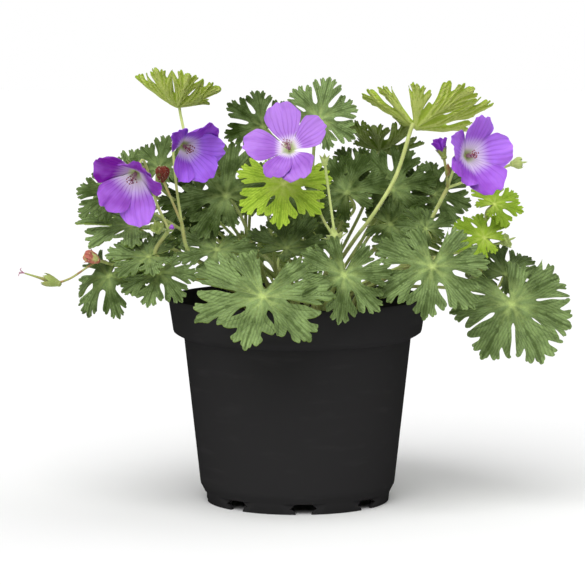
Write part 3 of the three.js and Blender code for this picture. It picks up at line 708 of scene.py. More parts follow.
def vary(tree, low, high, **inputs):
    """A random number or vector for each copy."""
    first, output, kind = (0, 0, "FLOAT_VECTOR") if isinstance(low, tuple) else (2, 1, "FLOAT")
    inputs = {first: low, first + 1: high, **inputs}
    return out_of(tree, "FunctionNodeRandomValue", output, inputs, data_type=kind)


def copied(tree, points, thing, **inputs):
    """The thing on each of the points, made real."""
    inputs = {"Points": points, "Instance": thing, **inputs}
    copies = out_of(tree, "GeometryNodeInstanceOnPoints", 0, inputs)
    return out_of(tree, "GeometryNodeRealizeInstances", 0, {0: copies})


def painted(tree, mesh, material):
    return out_of(tree, "GeometryNodeSetMaterial", 0, {"Geometry": mesh, "Material": material})


def joined(tree, *parts):
    join = node(tree, "GeometryNodeJoinGeometry")
    for part in parts:
        plug(part, join.inputs[0])
    return Wire(join.outputs[0])


def ending(tree, result):
    node(tree, "NodeGroupOutput", {0: result})
    return tree


def through_nodes(thing, tree, **values):
    """Runs a piece through a tree and keeps the result as its plain mesh."""
    modifier = thing.modifiers.new(tree.name, "NODES")
    modifier.node_group = tree
    for item in tree.interface.items_tree:
        if item.in_out == "INPUT" and item.name in values:
            modifier[item.identifier] = values[item.name]
    return baked(thing)


print("Geometry Nodes helpers ready")

# %% [markdown]
# ## The soil
# Peat fills the pot to a finger below the rim, crowned towards the plant. The body is turned like the pot
# and its top roughened by summed waves. Crumbs lie on it, scattered over the upward faces: each is a low
# ball of a few faces, turned and scaled at random from one seed.

# %% The soil and its crumbs
SOIL = {"edge": 121, "crown": 125.5, "gap": 0.3, "under": 10.3, "reach": 80.4, "rough": 79}
CRUMBS = {"Density": 150000.0, "Radius": 0.0011, "Seed": 4}
UPWARD = 0.6  # the least upward share of a normal on which a crumb can lie
TURN = 6.28  # a whole turn, for what is turned at random


def crumb_tree():
    tree, given = new_tree("Crumbs", Density="Float", Radius="Float", Seed="Int", Material="Material")
    normal = out_of(tree, "GeometryNodeInputNormal", 0)
    rise = out_of(tree, "ShaderNodeSeparateXYZ", "Z", {0: normal})
    upward = out_of(tree, "FunctionNodeCompare", 0, {0: rise, 1: UPWARD}, operation="GREATER_THAN")
    points, _ = scatter(tree, given, upward)
    ball = out_of(tree, "GeometryNodeMeshIcoSphere", "Mesh", {"Subdivisions": 1, "Radius": given["Radius"]})
    turn, size = vary(tree, (0, 0, 0), (TURN, TURN, TURN)), vary(tree, (0.4, 0.4, 0.3), (1.5, 1.3, 0.9))
    crumbs = copied(tree, points, ball, Rotation=turn, Scale=size)
    return ending(tree, painted(tree, joined(tree, given["Geometry"], crumbs), given["Material"]))


def make_soil():
    inner = POT["top"] - POT["wall"] - SOIL["gap"]
    foot = POT["foot"] - POT["wall"] - SOIL["gap"]
    rise = SOIL["crown"] - SOIL["edge"]
    crown = [(SOIL["reach"] * (1 - t), SOIL["edge"] + rise * t) for t in np.linspace(0, 1, 30)]
    profile = [(0, SOIL["under"]), (foot - 2, SOIL["under"]), (foot, 13.4), (inner - 0.1, 110.6)]
    points, faces = lathe([*profile, *crown[:-1], (0, SOIL["crown"])], 96)
    rough = []
    for x, y, z in points:
        if z >= SOIL["edge"] and math.hypot(x, y) < SOIL["rough"]:
            z += 0.5 * math.sin(0.35 * x + 1) * math.cos(0.31 * y) + 0.35 * math.sin(0.9 * x + 0.7 * y) - 0.5
        rough.append((x, y, z))
    soil = solid_object("soil_fine", rough, faces)
    soil.data.polygons.foreach_set("use_smooth", [True] * len(soil.data.polygons))
    through_nodes(soil, crumb_tree(), **CRUMBS, Material=PEAT)
    return settle(soil, "soil")


soil = make_soil()
print("soil", len(soil.data.polygons), "faces")

# %% [markdown]
# ## The shape of a leaf
# The leaf of a cranesbill is a hand of seven lobes, each cut into three again, with blunt teeth. The edge
# of one half lobe is a short list of places, as shares of the lobe's length along its rib and out from it;
# it is mirrored, turned for each lobe, and rounded by cutting corners. Lobes give way where they would
# cross. The inside is then filled with even triangles, so the blade can bend anywhere without creasing.

# %% Leaf outline, veins and triangles
LOBES = [(-149, None), (-103, 0.96), (-51, 1.0), (0, 1.0), (51, 1.0), (103, 0.96), (149, None)]
SINUS = [0.4, 0.33, 0.33, 0.33, 0.33, 0.4]
STALK_NOTCH = 0.06
LOBE_GAP = 1.1  # degrees that stay free beside each lobe
TEETH = [  # along the rib and out from it, as shares of the lobe's length, from the base to the tip
    (0.38, 0.15), (0.46, 0.195), (0.54, 0.25), (0.61, 0.305), (0.67, 0.352), (0.72, 0.38), (0.75, 0.37),
    (0.755, 0.345), (0.79, 0.355), (0.82, 0.335), (0.81, 0.285), (0.765, 0.225), (0.71, 0.165), (0.78, 0.165),
    (0.84, 0.2), (0.885, 0.225), (0.905, 0.205), (0.9, 0.178), (0.935, 0.178), (0.95, 0.15), (0.92, 0.108),
    (0.87, 0.07), (0.92, 0.073), (0.95, 0.062), (0.96, 0.04), (0.99, 0.03), (1.0, 0.012),
]
VEINS = [  # each vein's strength and its places
    (1.0, [(0.0, 0.0), (0.3, 0.0), (0.6, 0.0), (0.97, 0.0)]),
    (0.9, [(0.04, 0.0), (0.25, 0.05), (0.42, 0.12), (0.58, 0.21), (0.74, 0.34)]),
    (0.75, [(0.44, 0.0), (0.56, 0.05), (0.7, 0.1), (0.89, 0.18)]),
    (0.65, [(0.3, 0.0), (0.42, 0.045), (0.54, 0.1), (0.62, 0.15), (0.74, 0.27)]),
    (0.6, [(0.62, 0.0), (0.75, 0.035), (0.92, 0.05)]),
]


def cut_corners(outline, times):
    for _ in range(times):
        after = np.roll(outline, -1, axis=0)
        outline = np.stack([0.8 * outline + 0.2 * after, 0.2 * outline + 0.8 * after], axis=1).reshape(-1, 2)
    return outline


def leaf_plan(size, base, slim, random):
    """The outline and the veins of a flat leaf, the stalk at the origin and the middle lobe along +X."""
    angles = [a + 3 * (next(random) - 0.5) for a, _ in LOBES]
    lengths = [(share or base) * size * (0.96 + 0.04 * next(random)) for _, share in LOBES]
    room = [(b - a) / 2 for a, b in zip(angles, angles[1:])]
    behind = 180 - max(-angles[0], angles[-1])
    room = [0.55 * behind, *room, 0.55 * behind]
    outline, veins = [(-STALK_NOTCH * size, 0.0)], []
    for i, (angle, length) in enumerate(zip(angles, lengths)):
        sides = {-1: room[i], 1: room[i + 1]}

        def placed(s, w):
            w *= slim
            r, away = length * math.hypot(s, w), math.degrees(math.atan2(w, s))
            limit = sides[1 if w > 0 else -1] - LOBE_GAP
            if abs(away) > limit:
                away = math.copysign(limit - 0.25 * min(abs(away) - limit, 4), away)
            turn = math.radians(angle + away)
            return r * math.cos(turn), r * math.sin(turn)

        outline += [placed(s, -w) for s, w in TEETH]
        outline.append(placed(1.0, 0.0))
        outline += [placed(s, w) for s, w in TEETH[::-1]]
        if i < len(SINUS):
            middle = math.radians((angle + angles[i + 1]) / 2)
            outline.append((SINUS[i] * size * math.cos(middle), SINUS[i] * size * math.sin(middle)))
        for strength, line in VEINS:
            for side in (1, -1) if line[-1][1] else (1,):
                veins.append((strength, np.array([placed(s, side * w) for s, w in line])))
    return np.array(outline), veins, np.radians(angles), np.array(lengths)


def distance_to(points, line):
    """How far each point is from a line of straight stretches."""
    a, b = line[:-1], line[1:]
    run = b - a
    t = ((points[:, None] - a) * run).sum(2) / np.maximum((run * run).sum(1), 1e-9)
    nearest = a + np.clip(t, 0, 1)[..., None] * run
    return np.linalg.norm(points[:, None] - nearest, axis=2).min(1)


def inside(points, outline):
    x, y = points[:, :1], points[:, 1:]
    ax, ay = outline.T
    bx, by = np.roll(outline, -1, axis=0).T
    crosses = ((ay > y) != (by > y)) & (x < (bx - ax) * (y - ay) / (by - ay + 1e-12) + ax)
    return crosses.sum(1) % 2 == 1


def fill(outline, veins, spacing):
    """Even triangles inside an outline, with the outline's points kept and a row of points on each vein."""
    low, high = outline.min(0), outline.max(0)
    rows = np.arange(low[1], high[1], spacing * 0.87)
    columns = np.arange(low[0], high[0], spacing)
    grid = [(x + (k % 2) * spacing / 2, y) for k, y in enumerate(rows) for x in columns]
    grid, lines = np.array(grid), [line for _, line in veins]
    grid = grid[inside(grid, outline)]
    grid = grid[np.min([distance_to(grid, line) for line in lines], axis=0) > 0.6 * spacing]
    on_veins = np.concatenate([evenly(line, step=0.8 * spacing) for line in lines])
    _, first = np.unique(np.round(on_veins / (0.45 * spacing)), axis=0, return_index=True)
    on_veins = on_veins[np.sort(first)]
    more = np.concatenate([on_veins[inside(on_veins, outline)], grid])
    more = more[distance_to(more, np.concatenate([outline, outline[:1]])) > 0.5 * spacing]
    points = np.concatenate([outline, more])
    made = delaunay_2d_cdt(points.tolist(), [], [list(range(len(outline)))], 1, 1e-5)
    return np.array([tuple(p) for p in made[0]]), np.array(made[2])


# %% [markdown]
# ## Bending a leaf
# A flat leaf rises from its stalk as a cup and arches over outwards, every lobe is folded along its rib,
# and the blade swells between its veins, which is what makes a leaf look alive. The upper and lower skins
# are the same sheet set apart by the blade's thickness; the veins stand out below. Lobes are drawn side by
# side so that they can be filled, and then widened, every other one a little higher, so that each lies
# over its neighbour.

# %% The blade
BLADE, VEIN = 0.62, 0.4  # the thickness of a blade, and how much more it is on a vein
CUP, ARCH = 6, 16  # how steeply a blade rises from its stalk, and how far it bends over to its tips
PLEAT = 0.29  # how steeply a lobe rises from its rib to its sides
SWELL = 0.025  # how far the blade swells between veins, as a share of its size
LAP = {"from": 0.48, "full": 0.75, "share": 0.04, "lift": 0.03}  # how far out and how much the lobes overlap
RIPPLES = ((0.045, 7, 0), (0.03, 19, 5))  # the height of each ripple, how many go round, and how they twist
DROOP = {"from": 0.8, "share": 0.07}  # how far out a lobe's tip turns down, and by how much


def row(at, size, face, clock, **more):
    """The plan of a leaf: its seat, its middle lobe's length, where it faces and where that lobe points."""
    return {"at": at, "size": size, "face": face, "point": clock, **more}


def bent(plan, flat, lift):
    """The places of a flat blade's points once it is cupped, arched and turned to where it faces."""
    seat, size = point(*plan["at"]), plan["size"]
    out, ahead, left = facing(*plan["face"], plan["point"])
    r, theta = np.hypot(*flat.T), np.arctan2(flat[:, 1], flat[:, 0])
    swing = np.radians(plan.get("arch", ARCH) + plan.get("nod", 0) * np.cos(theta))
    start = -math.radians(plan.get("cup", CUP))
    turn = start + swing * r / size
    away = swung(theta, ahead, left)
    normal = np.cos(turn)[:, None] * out + np.sin(turn)[:, None] * away
    level = (np.sin(turn) - math.sin(start)) * size / swing
    drop = (math.cos(start) - np.cos(turn)) * size / swing
    return seat + away * level[:, None] - out * drop[:, None] + normal * lift[:, None], normal


def sheet(shape, points, normals, triangles, thickness, upper, lower, skin):
    """Two skins of the same triangles, closed round the edge."""
    n = len(points)
    half = normals * np.reshape(thickness, (-1, 1)) / 2
    edges = np.concatenate([triangles[:, [0, 1]], triangles[:, [1, 2]], triangles[:, [2, 0]]])
    there = set(map(tuple, edges.tolist()))
    rim = np.array([e for e in edges.tolist() if (e[1], e[0]) not in there])
    a, b = rim.T
    quads = np.concatenate([np.stack([b, a, a + n], 1), np.stack([b, a + n, b + n], 1)])
    places, look = np.concatenate([points + half, points - half]), np.concatenate([upper, lower])
    shape.add(places, np.concatenate([triangles, triangles[:, ::-1] + n, quads]), look, skin)


def step(value, low, high):
    t = np.clip((value - low) / (high - low), 0, 1)
    return t * t * (3 - 2 * t)


def blade(shape, plan, skin):
    size = plan["size"]
    random = seeded(plan.get("seed", 11) * 7919 + int(size * 10))
    base, slim = plan.get("base", 0.66), plan.get("slim", 0.84)
    outline, veins, angles, lengths = leaf_plan(size, base, slim, random)
    outline, spacing = cut_corners(outline, 2), size / plan.get("detail", 30)
    flat, triangles = fill(outline, veins, spacing)
    r, theta = np.hypot(*flat.T), np.arctan2(flat[:, 1], flat[:, 0])
    gaps = np.angle(np.exp(1j * (theta[:, None] - angles)))
    lobe = np.abs(gaps).argmin(1)
    gap = gaps[np.arange(len(r)), lobe]
    aside = r * np.sin(np.minimum(np.abs(gap), math.pi / 2))
    near = np.stack([distance_to(flat, line) for _, line in veins])
    strength = np.array([s for s, _ in veins])[:, None]
    vein = (strength * np.exp(-((near / (0.45 * spacing)) ** 2))).max(0)
    across = 0.4 * np.clip(aside / (0.4 * size), 0, 1)
    swell = 1 - np.exp(-((near.min(0) / (0.035 * size)) ** 2))
    edge = np.clip(r / size - 0.3, 0, 1)
    rise = np.array([next(random) - 0.5 for _ in angles])[lobe] * plan.get("lively", 0.45) * size * edge
    wave = 0
    for high, count, twist in RIPPLES:
        wave = wave + high * size * edge * np.sin(count * theta + twist * r / size + TURN * next(random))
    lap = step(r / size, LAP["from"], LAP["full"])
    lift = aside * PLEAT * np.clip(r / (0.35 * size), 0, 1) + SWELL * size * swell + rise + wave
    lift += (lobe % 2 * 2 - 1) * LAP["lift"] * size * lap
    lift -= DROOP["share"] * size * np.clip(r / lengths[lobe] - DROOP["from"], 0, 1)
    turned_to = angles[lobe] + gap * (1 + LAP["share"] * lap)
    flat = np.stack([r * np.cos(turned_to), r * np.sin(turned_to)], axis=1)
    points, normals = bent(plan, flat, lift)
    tone = plan.get("tone", 0.5)
    upper, lower = looks(vein, r / size, across, tone), looks(vein, r / size, 1 - across, tone)
    thick = BLADE + VEIN * vein
    points = points - normals * (thick - BLADE)[:, None] / 2
    sheet(shape, points, normals, triangles, thick, upper, lower, skin)


test = Shape()
blade(test, row((0, 0, 0), 40, (0, 90), 0), LEAF)
print("one leaf of 40 mm has", sum(len(t) for t in test.triangles), "triangles")

# %% [markdown]
# ## Roots and stalks
# All stalks rise from one crown. Their places in the soil follow the sunflower rule, which packs points
# evenly at any number: each next one turns by the golden angle and steps outwards by a square root. A
# stalk takes the free place nearest to its wish, low leaves outside, high ones inside. Stems choose before
# leaves.

# %% The crown and the stalks
GAP = 0.3
STALK_RADIUS = {"leaf": 1.3, "stem": 1.5, "flower": 0.95}
CROWN = {"outer": 34, "inner": 8, "depth": 110, "spacing": 5.2, "places": 56}
SEATS = {"low": 130, "high": 262}
GOLDEN_SHARE = 0.618034


def sunflower(i):
    turn, r = i * 2 * math.pi * (1 - GOLDEN_SHARE), CROWN["spacing"] * math.sqrt(i + 0.6)
    return point(r * math.cos(turn), r * math.sin(turn), CROWN["depth"])


free = [sunflower(i) for i in range(CROWN["places"])]


def mixed(low, high, share):
    return low + (high - low) * share


def root_of(x, y, z):
    """Takes the free place in the crown that suits a stalk going to this point best."""
    high = min(max((z - SEATS["low"]) / (SEATS["high"] - SEATS["low"]), 0), 1)
    reach, turn = mixed(CROWN["outer"], CROWN["inner"], high), math.atan2(y, x)
    wish = point(reach * math.cos(turn), reach * math.sin(turn), CROWN["depth"])
    nearest = min(range(len(free)), key=lambda i: np.linalg.norm(free[i] - wish))
    return free.pop(nearest)


def above_soil(root):
    return point(1.12 * root[0], 1.12 * root[1], SOIL["crown"] + 10)


def into_blade(plan, before):
    """The places of a stalk that comes into its blade from behind."""
    seat, size, pull = point(*plan["at"]), plan["size"], plan.get("pull", 0.3)
    out, ahead, _ = facing(*plan["face"], plan["point"])
    behind = seat - ahead * pull * size - out * 0.7 * pull * size
    reach, rise = STALK_NOTCH * size, math.radians(plan.get("cup", CUP))
    return [*before, behind, seat - ahead * reach * math.cos(rise) + out * reach * math.sin(rise)]


def basal_leaf(shape, plan, skin):
    root = root_of(*plan["at"])
    places = into_blade(plan, [root, above_soil(root), *[point(*p) for p in plan.get("via", [])]])
    thick = plan.get("thick", STALK_RADIUS["leaf"])
    line = rounded(places, 40)
    radii = (thick, 0.9 * thick, 0.8 * thick, 0.85 * thick)
    tube(shape, line, radii, STALK, tone=plan.get("stalk_tone", 0.55), flush=plan.get("flush", 0.15))
    blade(shape, plan, skin)


def stem_leaf(shape, joint, plan, skin=LEAF):
    line = rounded(into_blade(plan, [point(*joint)]), 16)
    tube(shape, line, (0.95, 0.75, 0.85), STALK, tone=0.5, flush=0.2, sides=8)
    blade(shape, plan, skin)


print("free places for stalks:", len(free))

# %% [markdown]
# ## Sepals, buds and fruits
# Every flower, bud and fruit sits in a calyx of five pointed sepals. A sepal is a small boat-shaped sheet;
# an opening angle says how far the five spread. A bud is a fluted body between closed sepals, and a fruit
# has the long beak that gives the plant its name.

# %% Calyx, bud, fruit and swollen joint
def smooth(x, keys):
    """A soft curve through the keys, read off at x."""
    xs, ys = np.array(keys, dtype=float).T
    slopes = np.gradient(ys, xs)
    i = np.clip(np.searchsorted(xs, x) - 1, 0, len(xs) - 2)
    h = xs[i + 1] - xs[i]
    t = (x - xs[i]) / h
    rise = ys[i] * (1 + 2 * t) * (1 - t) ** 2 + ys[i + 1] * t * t * (3 - 2 * t)
    return rise + h * t * (1 - t) * (slopes[i] * (1 - t) - slopes[i + 1] * t)


def grid_triangles(rows, columns):
    made = []
    for i in range(rows - 1):
        for j in range(columns - 1):
            a = i * columns + j
            made += [(a, a + 1, a + columns), (a + 1, a + columns + 1, a + columns)]
    return np.array(made)


def strip(rows, columns):
    """How far along (0 to 1) and how far across (-1 to 1) the points of a grid are."""
    along, across = np.linspace(0, 1, rows), np.linspace(-1, 1, columns)
    return np.repeat(along, columns), np.tile(across, rows)


def spokes(first, side, other):
    """Five directions evenly round, the first at this many degrees from side towards other."""
    return swung(np.radians(first + 72 * np.arange(5)), side, other)


SEPAL = ((0, 0.5), (0.15, 0.75), (0.4, 1.0), (0.65, 0.82), (0.85, 0.4), (0.93, 0.12), (1, 0.06))


def calyx(shape, at, way, length=9.0, opening=65, wide=3.0, cup=2.1, tone=0.55, flush=0.2, closed=0.0):
    """Five sepals round a cup; closed brings their tips back together."""
    way = unit(way)
    right = unit(np.cross(beside(way), way))
    up = np.cross(way, right)
    profile = [(0, -2.8), (cup * 0.6, -2.4), (cup, -1.3), (cup * 0.8, -0.5), (0, -0.1)]
    turned(shape, profile, at, way, STALK, sides=12, tone=tone, flush=(flush, flush))
    s, v = strip(12, 7)
    half = smooth(s, SEPAL) * wide / 2
    bend = math.radians(opening) + 0.12 * (s - 0.5)
    for away in spokes(36, right, up):
        across = np.cross(away, way)
        run = np.outer(np.sin(bend) * (1 - closed * s * s), away) + np.outer(np.cos(bend), way)
        normals = swung(bend, -away, way)
        points = at - 1.2 * way + 1.3 * away + run * (s * length)[:, None] + np.outer(v * half, across)
        points += normals * (0.3 * v * v * half)[:, None]
        ribs = 0.6 + 0.4 * np.cos(3 * math.pi * v)
        look = looks(flush * (0.5 + s), s, 0, tone * (0.8 + 0.3 * ribs))
        thick = 0.5 * (1 - 0.5 * s)
        sheet(shape, points, normals, grid_triangles(12, 7), thick, look, look, STALK)


def twig(shape, places, radius=STALK_RADIUS["flower"], tone=0.6, flush=0.2):
    line = rounded(places, 8 * (len(places) - 1))
    tube(shape, line, (radius, 0.85 * radius, 0.95 * radius), STALK, tone=tone, flush=flush, sides=8)


def violet_bud(shape, start, at, skin):
    """A bud whose petals just show between its sepals."""
    way, tone, flush = unit(at - start), 0.5, 0.1
    twig(shape, [start, at], tone=tone, flush=flush)
    profile = [(0, -2), (1.7, -1.5), (2.5, -0.3), (2.7, 1.6), (2.3, 3.4), (1.6, 5), (0, 5.6)]
    turned(shape, profile, at, way, STALK, sides=25, flute=0.22, tone=tone, flush=(0, flush))
    profile = [(0, 3), (1.6, 3.4), (1.9, 5.2), (1.6, 7.2), (0.9, 8.6), (0, 9.2)]
    turned(shape, profile, at, way, skin, sides=20, flute=0.3, folds=3, twist=0.3, tone=0.4)


def fruiting_calyx(shape, start, at, tip, tone=0.45, flush=0.7, **sepals):
    way, long = unit(tip - at), np.linalg.norm(tip - at)
    twig(shape, [start, at], tone=max(tone, 0.5), flush=0.3 * flush)
    profile = [(0, -1), (0.9, -0.4), (1.0, 0.5), (0.8, 0.4 * long), (0.55, 0.9 * long), (0, long + 1)]
    turned(shape, profile, at, way, STALK, tone=tone, flush=(flush, flush))
    calyx(shape, at, way, **{"opening": 30, "tone": tone, "flush": flush, **sepals})


def spent_bloom(shape, start, at, tip, wide, tone):
    """A withered flower: crumpled petals that hang together in their calyx."""
    way, long = unit(tip - at), np.linalg.norm(tip - at)
    twig(shape, [start, at], tone=0.6, flush=0.4)
    shares = [(0, -0.28), (0.6, -0.05), (0.85, 0.25), (0.95, 0.55), (0.85, 0.8), (0.6, 0.95), (0, 0.85)]
    profile = [(across * wide, along * long) for across, along in shares]
    turned(shape, profile, at, way, STALK, 42, 0.4, 7, 0.35, tone=tone, flush=(1.2, 2.0))
    calyx(shape, at, way, length=0.85 * long + 1, opening=24, wide=3.4, tone=tone, flush=1.6)


def cranesbill(shape, start, end):
    """A fruit with its long beak, and five stigmas that spread at the beak's end."""
    way, long = end - start, np.linalg.norm(end - start)
    profile = [(0, -1), (1.7, 0.5), (2.2, 3.4), (2.0, 5.6), (1.4, 8.6), (0.9, 0.42 * long), (0.6, 0.7 * long),
               (0.5, 0.8 * long), (0, 0.84 * long)]
    turned(shape, profile, start, way, STALK, sides=20, flute=0.16, tone=0.4, flush=(0.3, 0.6))
    calyx(shape, start, way, length=13, opening=24, wide=4.8, tone=0.35, flush=0.15, closed=0.6)
    up = unit(np.cross(way, point(0, 1, 0)))
    side, tip, along = unit(np.cross(way, up)), start + way * 0.8, unit(way)
    for away in spokes(0, up, side):
        places = [tip + along * h + away * r for h, r in ((0, 0), (2, 0.5), (3.6, 1.8), (3.3, 3))]
        tube(shape, rounded(places, 8), (0.35, 0.3, 0.25), FILAMENT, sides=6)


def swelling(shape, at, way):
    way = unit(way)
    profile = [(0, -7), (1.7, -5), (2.6, -2.5), (3, 0.6), (2.7, 3), (2, 6), (1, 8.2), (0, 9)]
    turned(shape, profile, at, way, STALK, tone=0.85)
    calyx(shape, at, way, opening=55, wide=5.0, cup=2.8, tone=0.9, flush=0.0)


print("sepals, buds and fruits ready")

# %% [markdown]
# ## Petals
# Five broad petals stand in a shallow bowl, each with one side over its neighbour and the other under it.
# A petal is a sheet whose width along its length is a smooth curve; it curls out towards its tip, and its
# edge ripples. Every flower of this plant faces its own way and is its own tint of violet.

# %% The flowers' petals
# A petal's paleness is partly painted light and shade: paler in the light, deeper violet in shade.
FLOWERS = {  # each petal: clock angle, lift, width, length, paleness, fold
    "flower_left": {"at": (-102, -70, 222), "face": (-20, -32), "length": 33, "petals": [
        (30, 40, 0.7, 0.95, 0.0, 0.2), (86, 38, 0.7, 0.85, 0.3, 0.1), (168, 41, 0.78, 1.05, 0.9, 0.1),
        (234, 41, 0.74, 0.92, 0.5, 0.1), (308, 24, 0.78, 0.84, 0.0, 0.4)]},
    "flower_upper_left": {"at": (-73, -55, 238), "face": (30, -15), "length": 28, "petals": [
        (22, 44, 0.72, 1.05, 0.2, 0.3), (80, 46, 0.78, 0.98, 0.8, 0.1), (145, 46, 0.76, 1.0, 0.75, 0.05),
        (204, 44, 0.6, 0.95, 0.4, 0.2), (308, 36, 0.74, 0.84, 0.2, 0.3)]},
    "flower_middle": {"at": (-5, -70, 236), "face": (-14, 28), "length": 30, "petals": [
        (-14, 26, 0.76, 1.0, 0.9, 0.0), (61, 26, 0.72, 0.97, 0.95, 0.05), (150, 26, 0.74, 1.06, 0.6, 0.05),
        (194, 26, 0.66, 0.92, 0.5, 0.05), (265, 26, 0.76, 0.99, 0.65, 0.0)]},
    "flower_right": {"at": (107, -55, 231), "face": (33, 8), "length": 30, "petals": [
        (8, 39, 0.7, 1.0, 0.75, 0.1), (84, 39, 0.76, 1.0, 0.8, 0.0), (164, 39, 0.86, 1.08, 0.35, 0.05),
        (230, 39, 0.74, 1.04, 0.35, 0.05), (294, 36, 0.7, 0.94, 0.5, 0.1)]},
}
PETAL = 0.45
PETAL_WIDTHS = ((0, 0.12), (0.18, 0.35), (0.45, 0.78), (0.72, 1.0), (0.88, 1.0), (1, 0.9))
CLAW = {"start": 1.1, "half": 1.35}
CURL = 16


def petal(shape, plan, place, random, skin):
    clock, lift, width, share, paleness_and_light, fold = place
    out, up, left = facing(*plan["face"], 0)
    clock, length = math.radians(clock), plan["length"] * share
    away = up * math.cos(clock) - left * math.sin(clock)
    across = np.cross(away, out)
    rows, columns = 34, 31
    s, v = strip(rows, columns)
    slope = np.radians(lift + CURL / 2 - CURL * np.linspace(0, 1, rows))
    r = CLAW["start"] + np.concatenate([[0], np.cumsum(np.cos(slope[1:]))]) * length / (rows - 1)
    h = np.concatenate([[0], np.cumsum(np.sin(slope[1:]))]) * length / (rows - 1)
    r, h, slope = (np.repeat(values, columns) for values in (r, h, slope))
    half = np.maximum(smooth(s, PETAL_WIDTHS) * width * length / 2, CLAW["half"])
    run, normals = swung(slope, away, out), swung(slope, out, -away)
    back = 0.5 * width * length * s**3 * (1 - np.sqrt(1 - (0.92 * v) ** 2))
    back += 0.03 * length * s**6 * (np.exp(-((v / 0.15) ** 2)) + 0.5 * np.sin(9 * v + 20 * next(random)))
    phase, edge = TURN * next(random), np.maximum(s**4, 0.6 * s * np.abs(v) ** 3)
    broad, fine = np.sin(5 * v + 3 * s + phase), np.sin(14 * v + 5 * s + 2 * phase)
    ruffle = length * edge * (0.035 * broad + 0.014 * fine)
    ruffle += 0.006 * length * s * np.cos(7 * math.pi * (v + 1))
    rise = (-0.16 * v * s + 0.08 * v * v + fold * np.abs(v) * s) * half + ruffle
    points = plan["at"] + np.outer(r, away) + np.outer(h, out) + np.outer(v * half, across)
    points = points - run * back[:, None] + normals * rise[:, None]
    # Painted light and shade: the petal's paleness, and shade in the crease of a fold; a little paler at the
    # tip.
    tone = np.clip(paleness_and_light + 0.35 * fold * (np.abs(v) - 0.5) + 0.1 * s, 0, 1)
    upper, lower = (looks(0.5 + 0.5 * v, s, side, tone) for side in (0, 1))
    sheet(shape, points, normals, grid_triangles(rows, columns), PETAL, upper, lower, skin)


for number, (name, plan) in enumerate(FLOWERS.items()):
    shape, random = Shape(), seeded(101 + number)
    for place in plan["petals"]:
        petal(shape, plan, place, random, PETALS[name])
    piece(f"{name}_petals_fine", shape)
print("petals made for", len(FLOWERS), "flowers")

# %% [markdown]
# ## Hearts
# In the middle stand ten stamens round a style that splits in five. Geometry Nodes set one stamen, a thin
# filament with its anther, on the points of a circle, lean each outwards and vary it a little. The style
# is turned by hand and joins them in the same piece.

# %% The flowers' hearts
def stamen_tree():
    kinds = {"Length": "Float", "Lean": "Float", "Seed": "Int", "Filament": "Material", "Anther": "Material"}
    tree, given = new_tree("Ring of stamens", Count="Int", Ring="Float", **kinds)
    long = given["Length"]
    cone = {"Vertices": 6, "Radius Top": 0.00012, "Radius Bottom": 0.0002, "Depth": long}
    thread = out_of(tree, "GeometryNodeMeshCone", "Mesh", cone)
    ball = out_of(tree, "GeometryNodeMeshIcoSphere", "Mesh", {"Radius": 0.00052, "Subdivisions": 2})
    top = out_of(tree, "ShaderNodeCombineXYZ", 0, {"Z": long})
    place = {"Geometry": ball, "Translation": top, "Scale": (0.75, 1.35, 0.7)}
    anther = painted(tree, out_of(tree, "GeometryNodeTransform", 0, place), given["Anther"])
    stamen = joined(tree, painted(tree, thread, given["Filament"]), anther)
    ring = out_of(tree, "GeometryNodeMeshCircle", 0, {"Vertices": given["Count"], "Radius": given["Ring"]})
    turn = 2 * math.pi / given["Count"] * out_of(tree, "GeometryNodeInputIndex", 0)
    lean = given["Lean"] * vary(tree, 0.3, 1.6, Seed=given["Seed"])
    turn = out_of(tree, "ShaderNodeCombineXYZ", 0, {"Y": lean, "Z": turn})
    stamens = copied(tree, ring, stamen, Rotation=turn)
    return ending(tree, joined(tree, stamens, given["Geometry"]))


STYLE = [(0, 0), (0.8, 0.2), (0.9, 1.2), (0.5, 2.6), (0.4, 6.5), (0.45, 7.6), (0, 8.2)]
STAMENS = {"Count": 10, "Ring": 0.0008, "Length": 0.0088, "Lean": 0.2}


def make_heart(name, plan, tree, seed):
    shape, up = Shape(), point(0, 0, 1)
    turned(shape, STYLE, point(0, 0, 0), up, FILAMENT, sides=10)
    for away in spokes(0, point(1, 0, 0), point(0, 1, 0)):
        line = [up * 7.4 + away * r + up * z for r, z in ((0.2, 0), (0.6, 0.9), (1.2, 1.5), (1.8, 1.4))]
        tube(shape, rounded(line, 8), (0.3, 0.25, 0.2), ANTHER, sides=6)
    heart = in_scene(f"{name}_heart_fine", mesh_of(name, shape))
    tip = PALE_ANTHER if name == "flower_middle" else ANTHER
    through_nodes(heart, tree, **STAMENS, Seed=seed, Filament=FILAMENT, Anther=tip)
    out, ahead, left = facing(*plan["face"], 0)
    seat = (np.array(plan["at"]) + out * CLAW["start"]) * MM
    columns = [*zip(ahead, left, out, seat)]
    heart.data.transform(Matrix([(*row,) for row in columns] + [(0, 0, 0, 1)]))
    return settle(heart, f"{name}_heart")


stamens = stamen_tree()
for number, (name, plan) in enumerate(FLOWERS.items()):
    heart = make_heart(name, plan, stamens, number + 3)
print("last heart", len(heart.data.polygons), "faces")

# %% [markdown]
# ## Fine hairs
# Stems, stalks and sepals of this plant are downy, and the down is seen as a pale line along each edge.
# Hairs are three-sided needles: Geometry Nodes scatter them over those faces only that wear the stem's
# finish, turn them along the surface normal with a random lean, and join them to the piece.

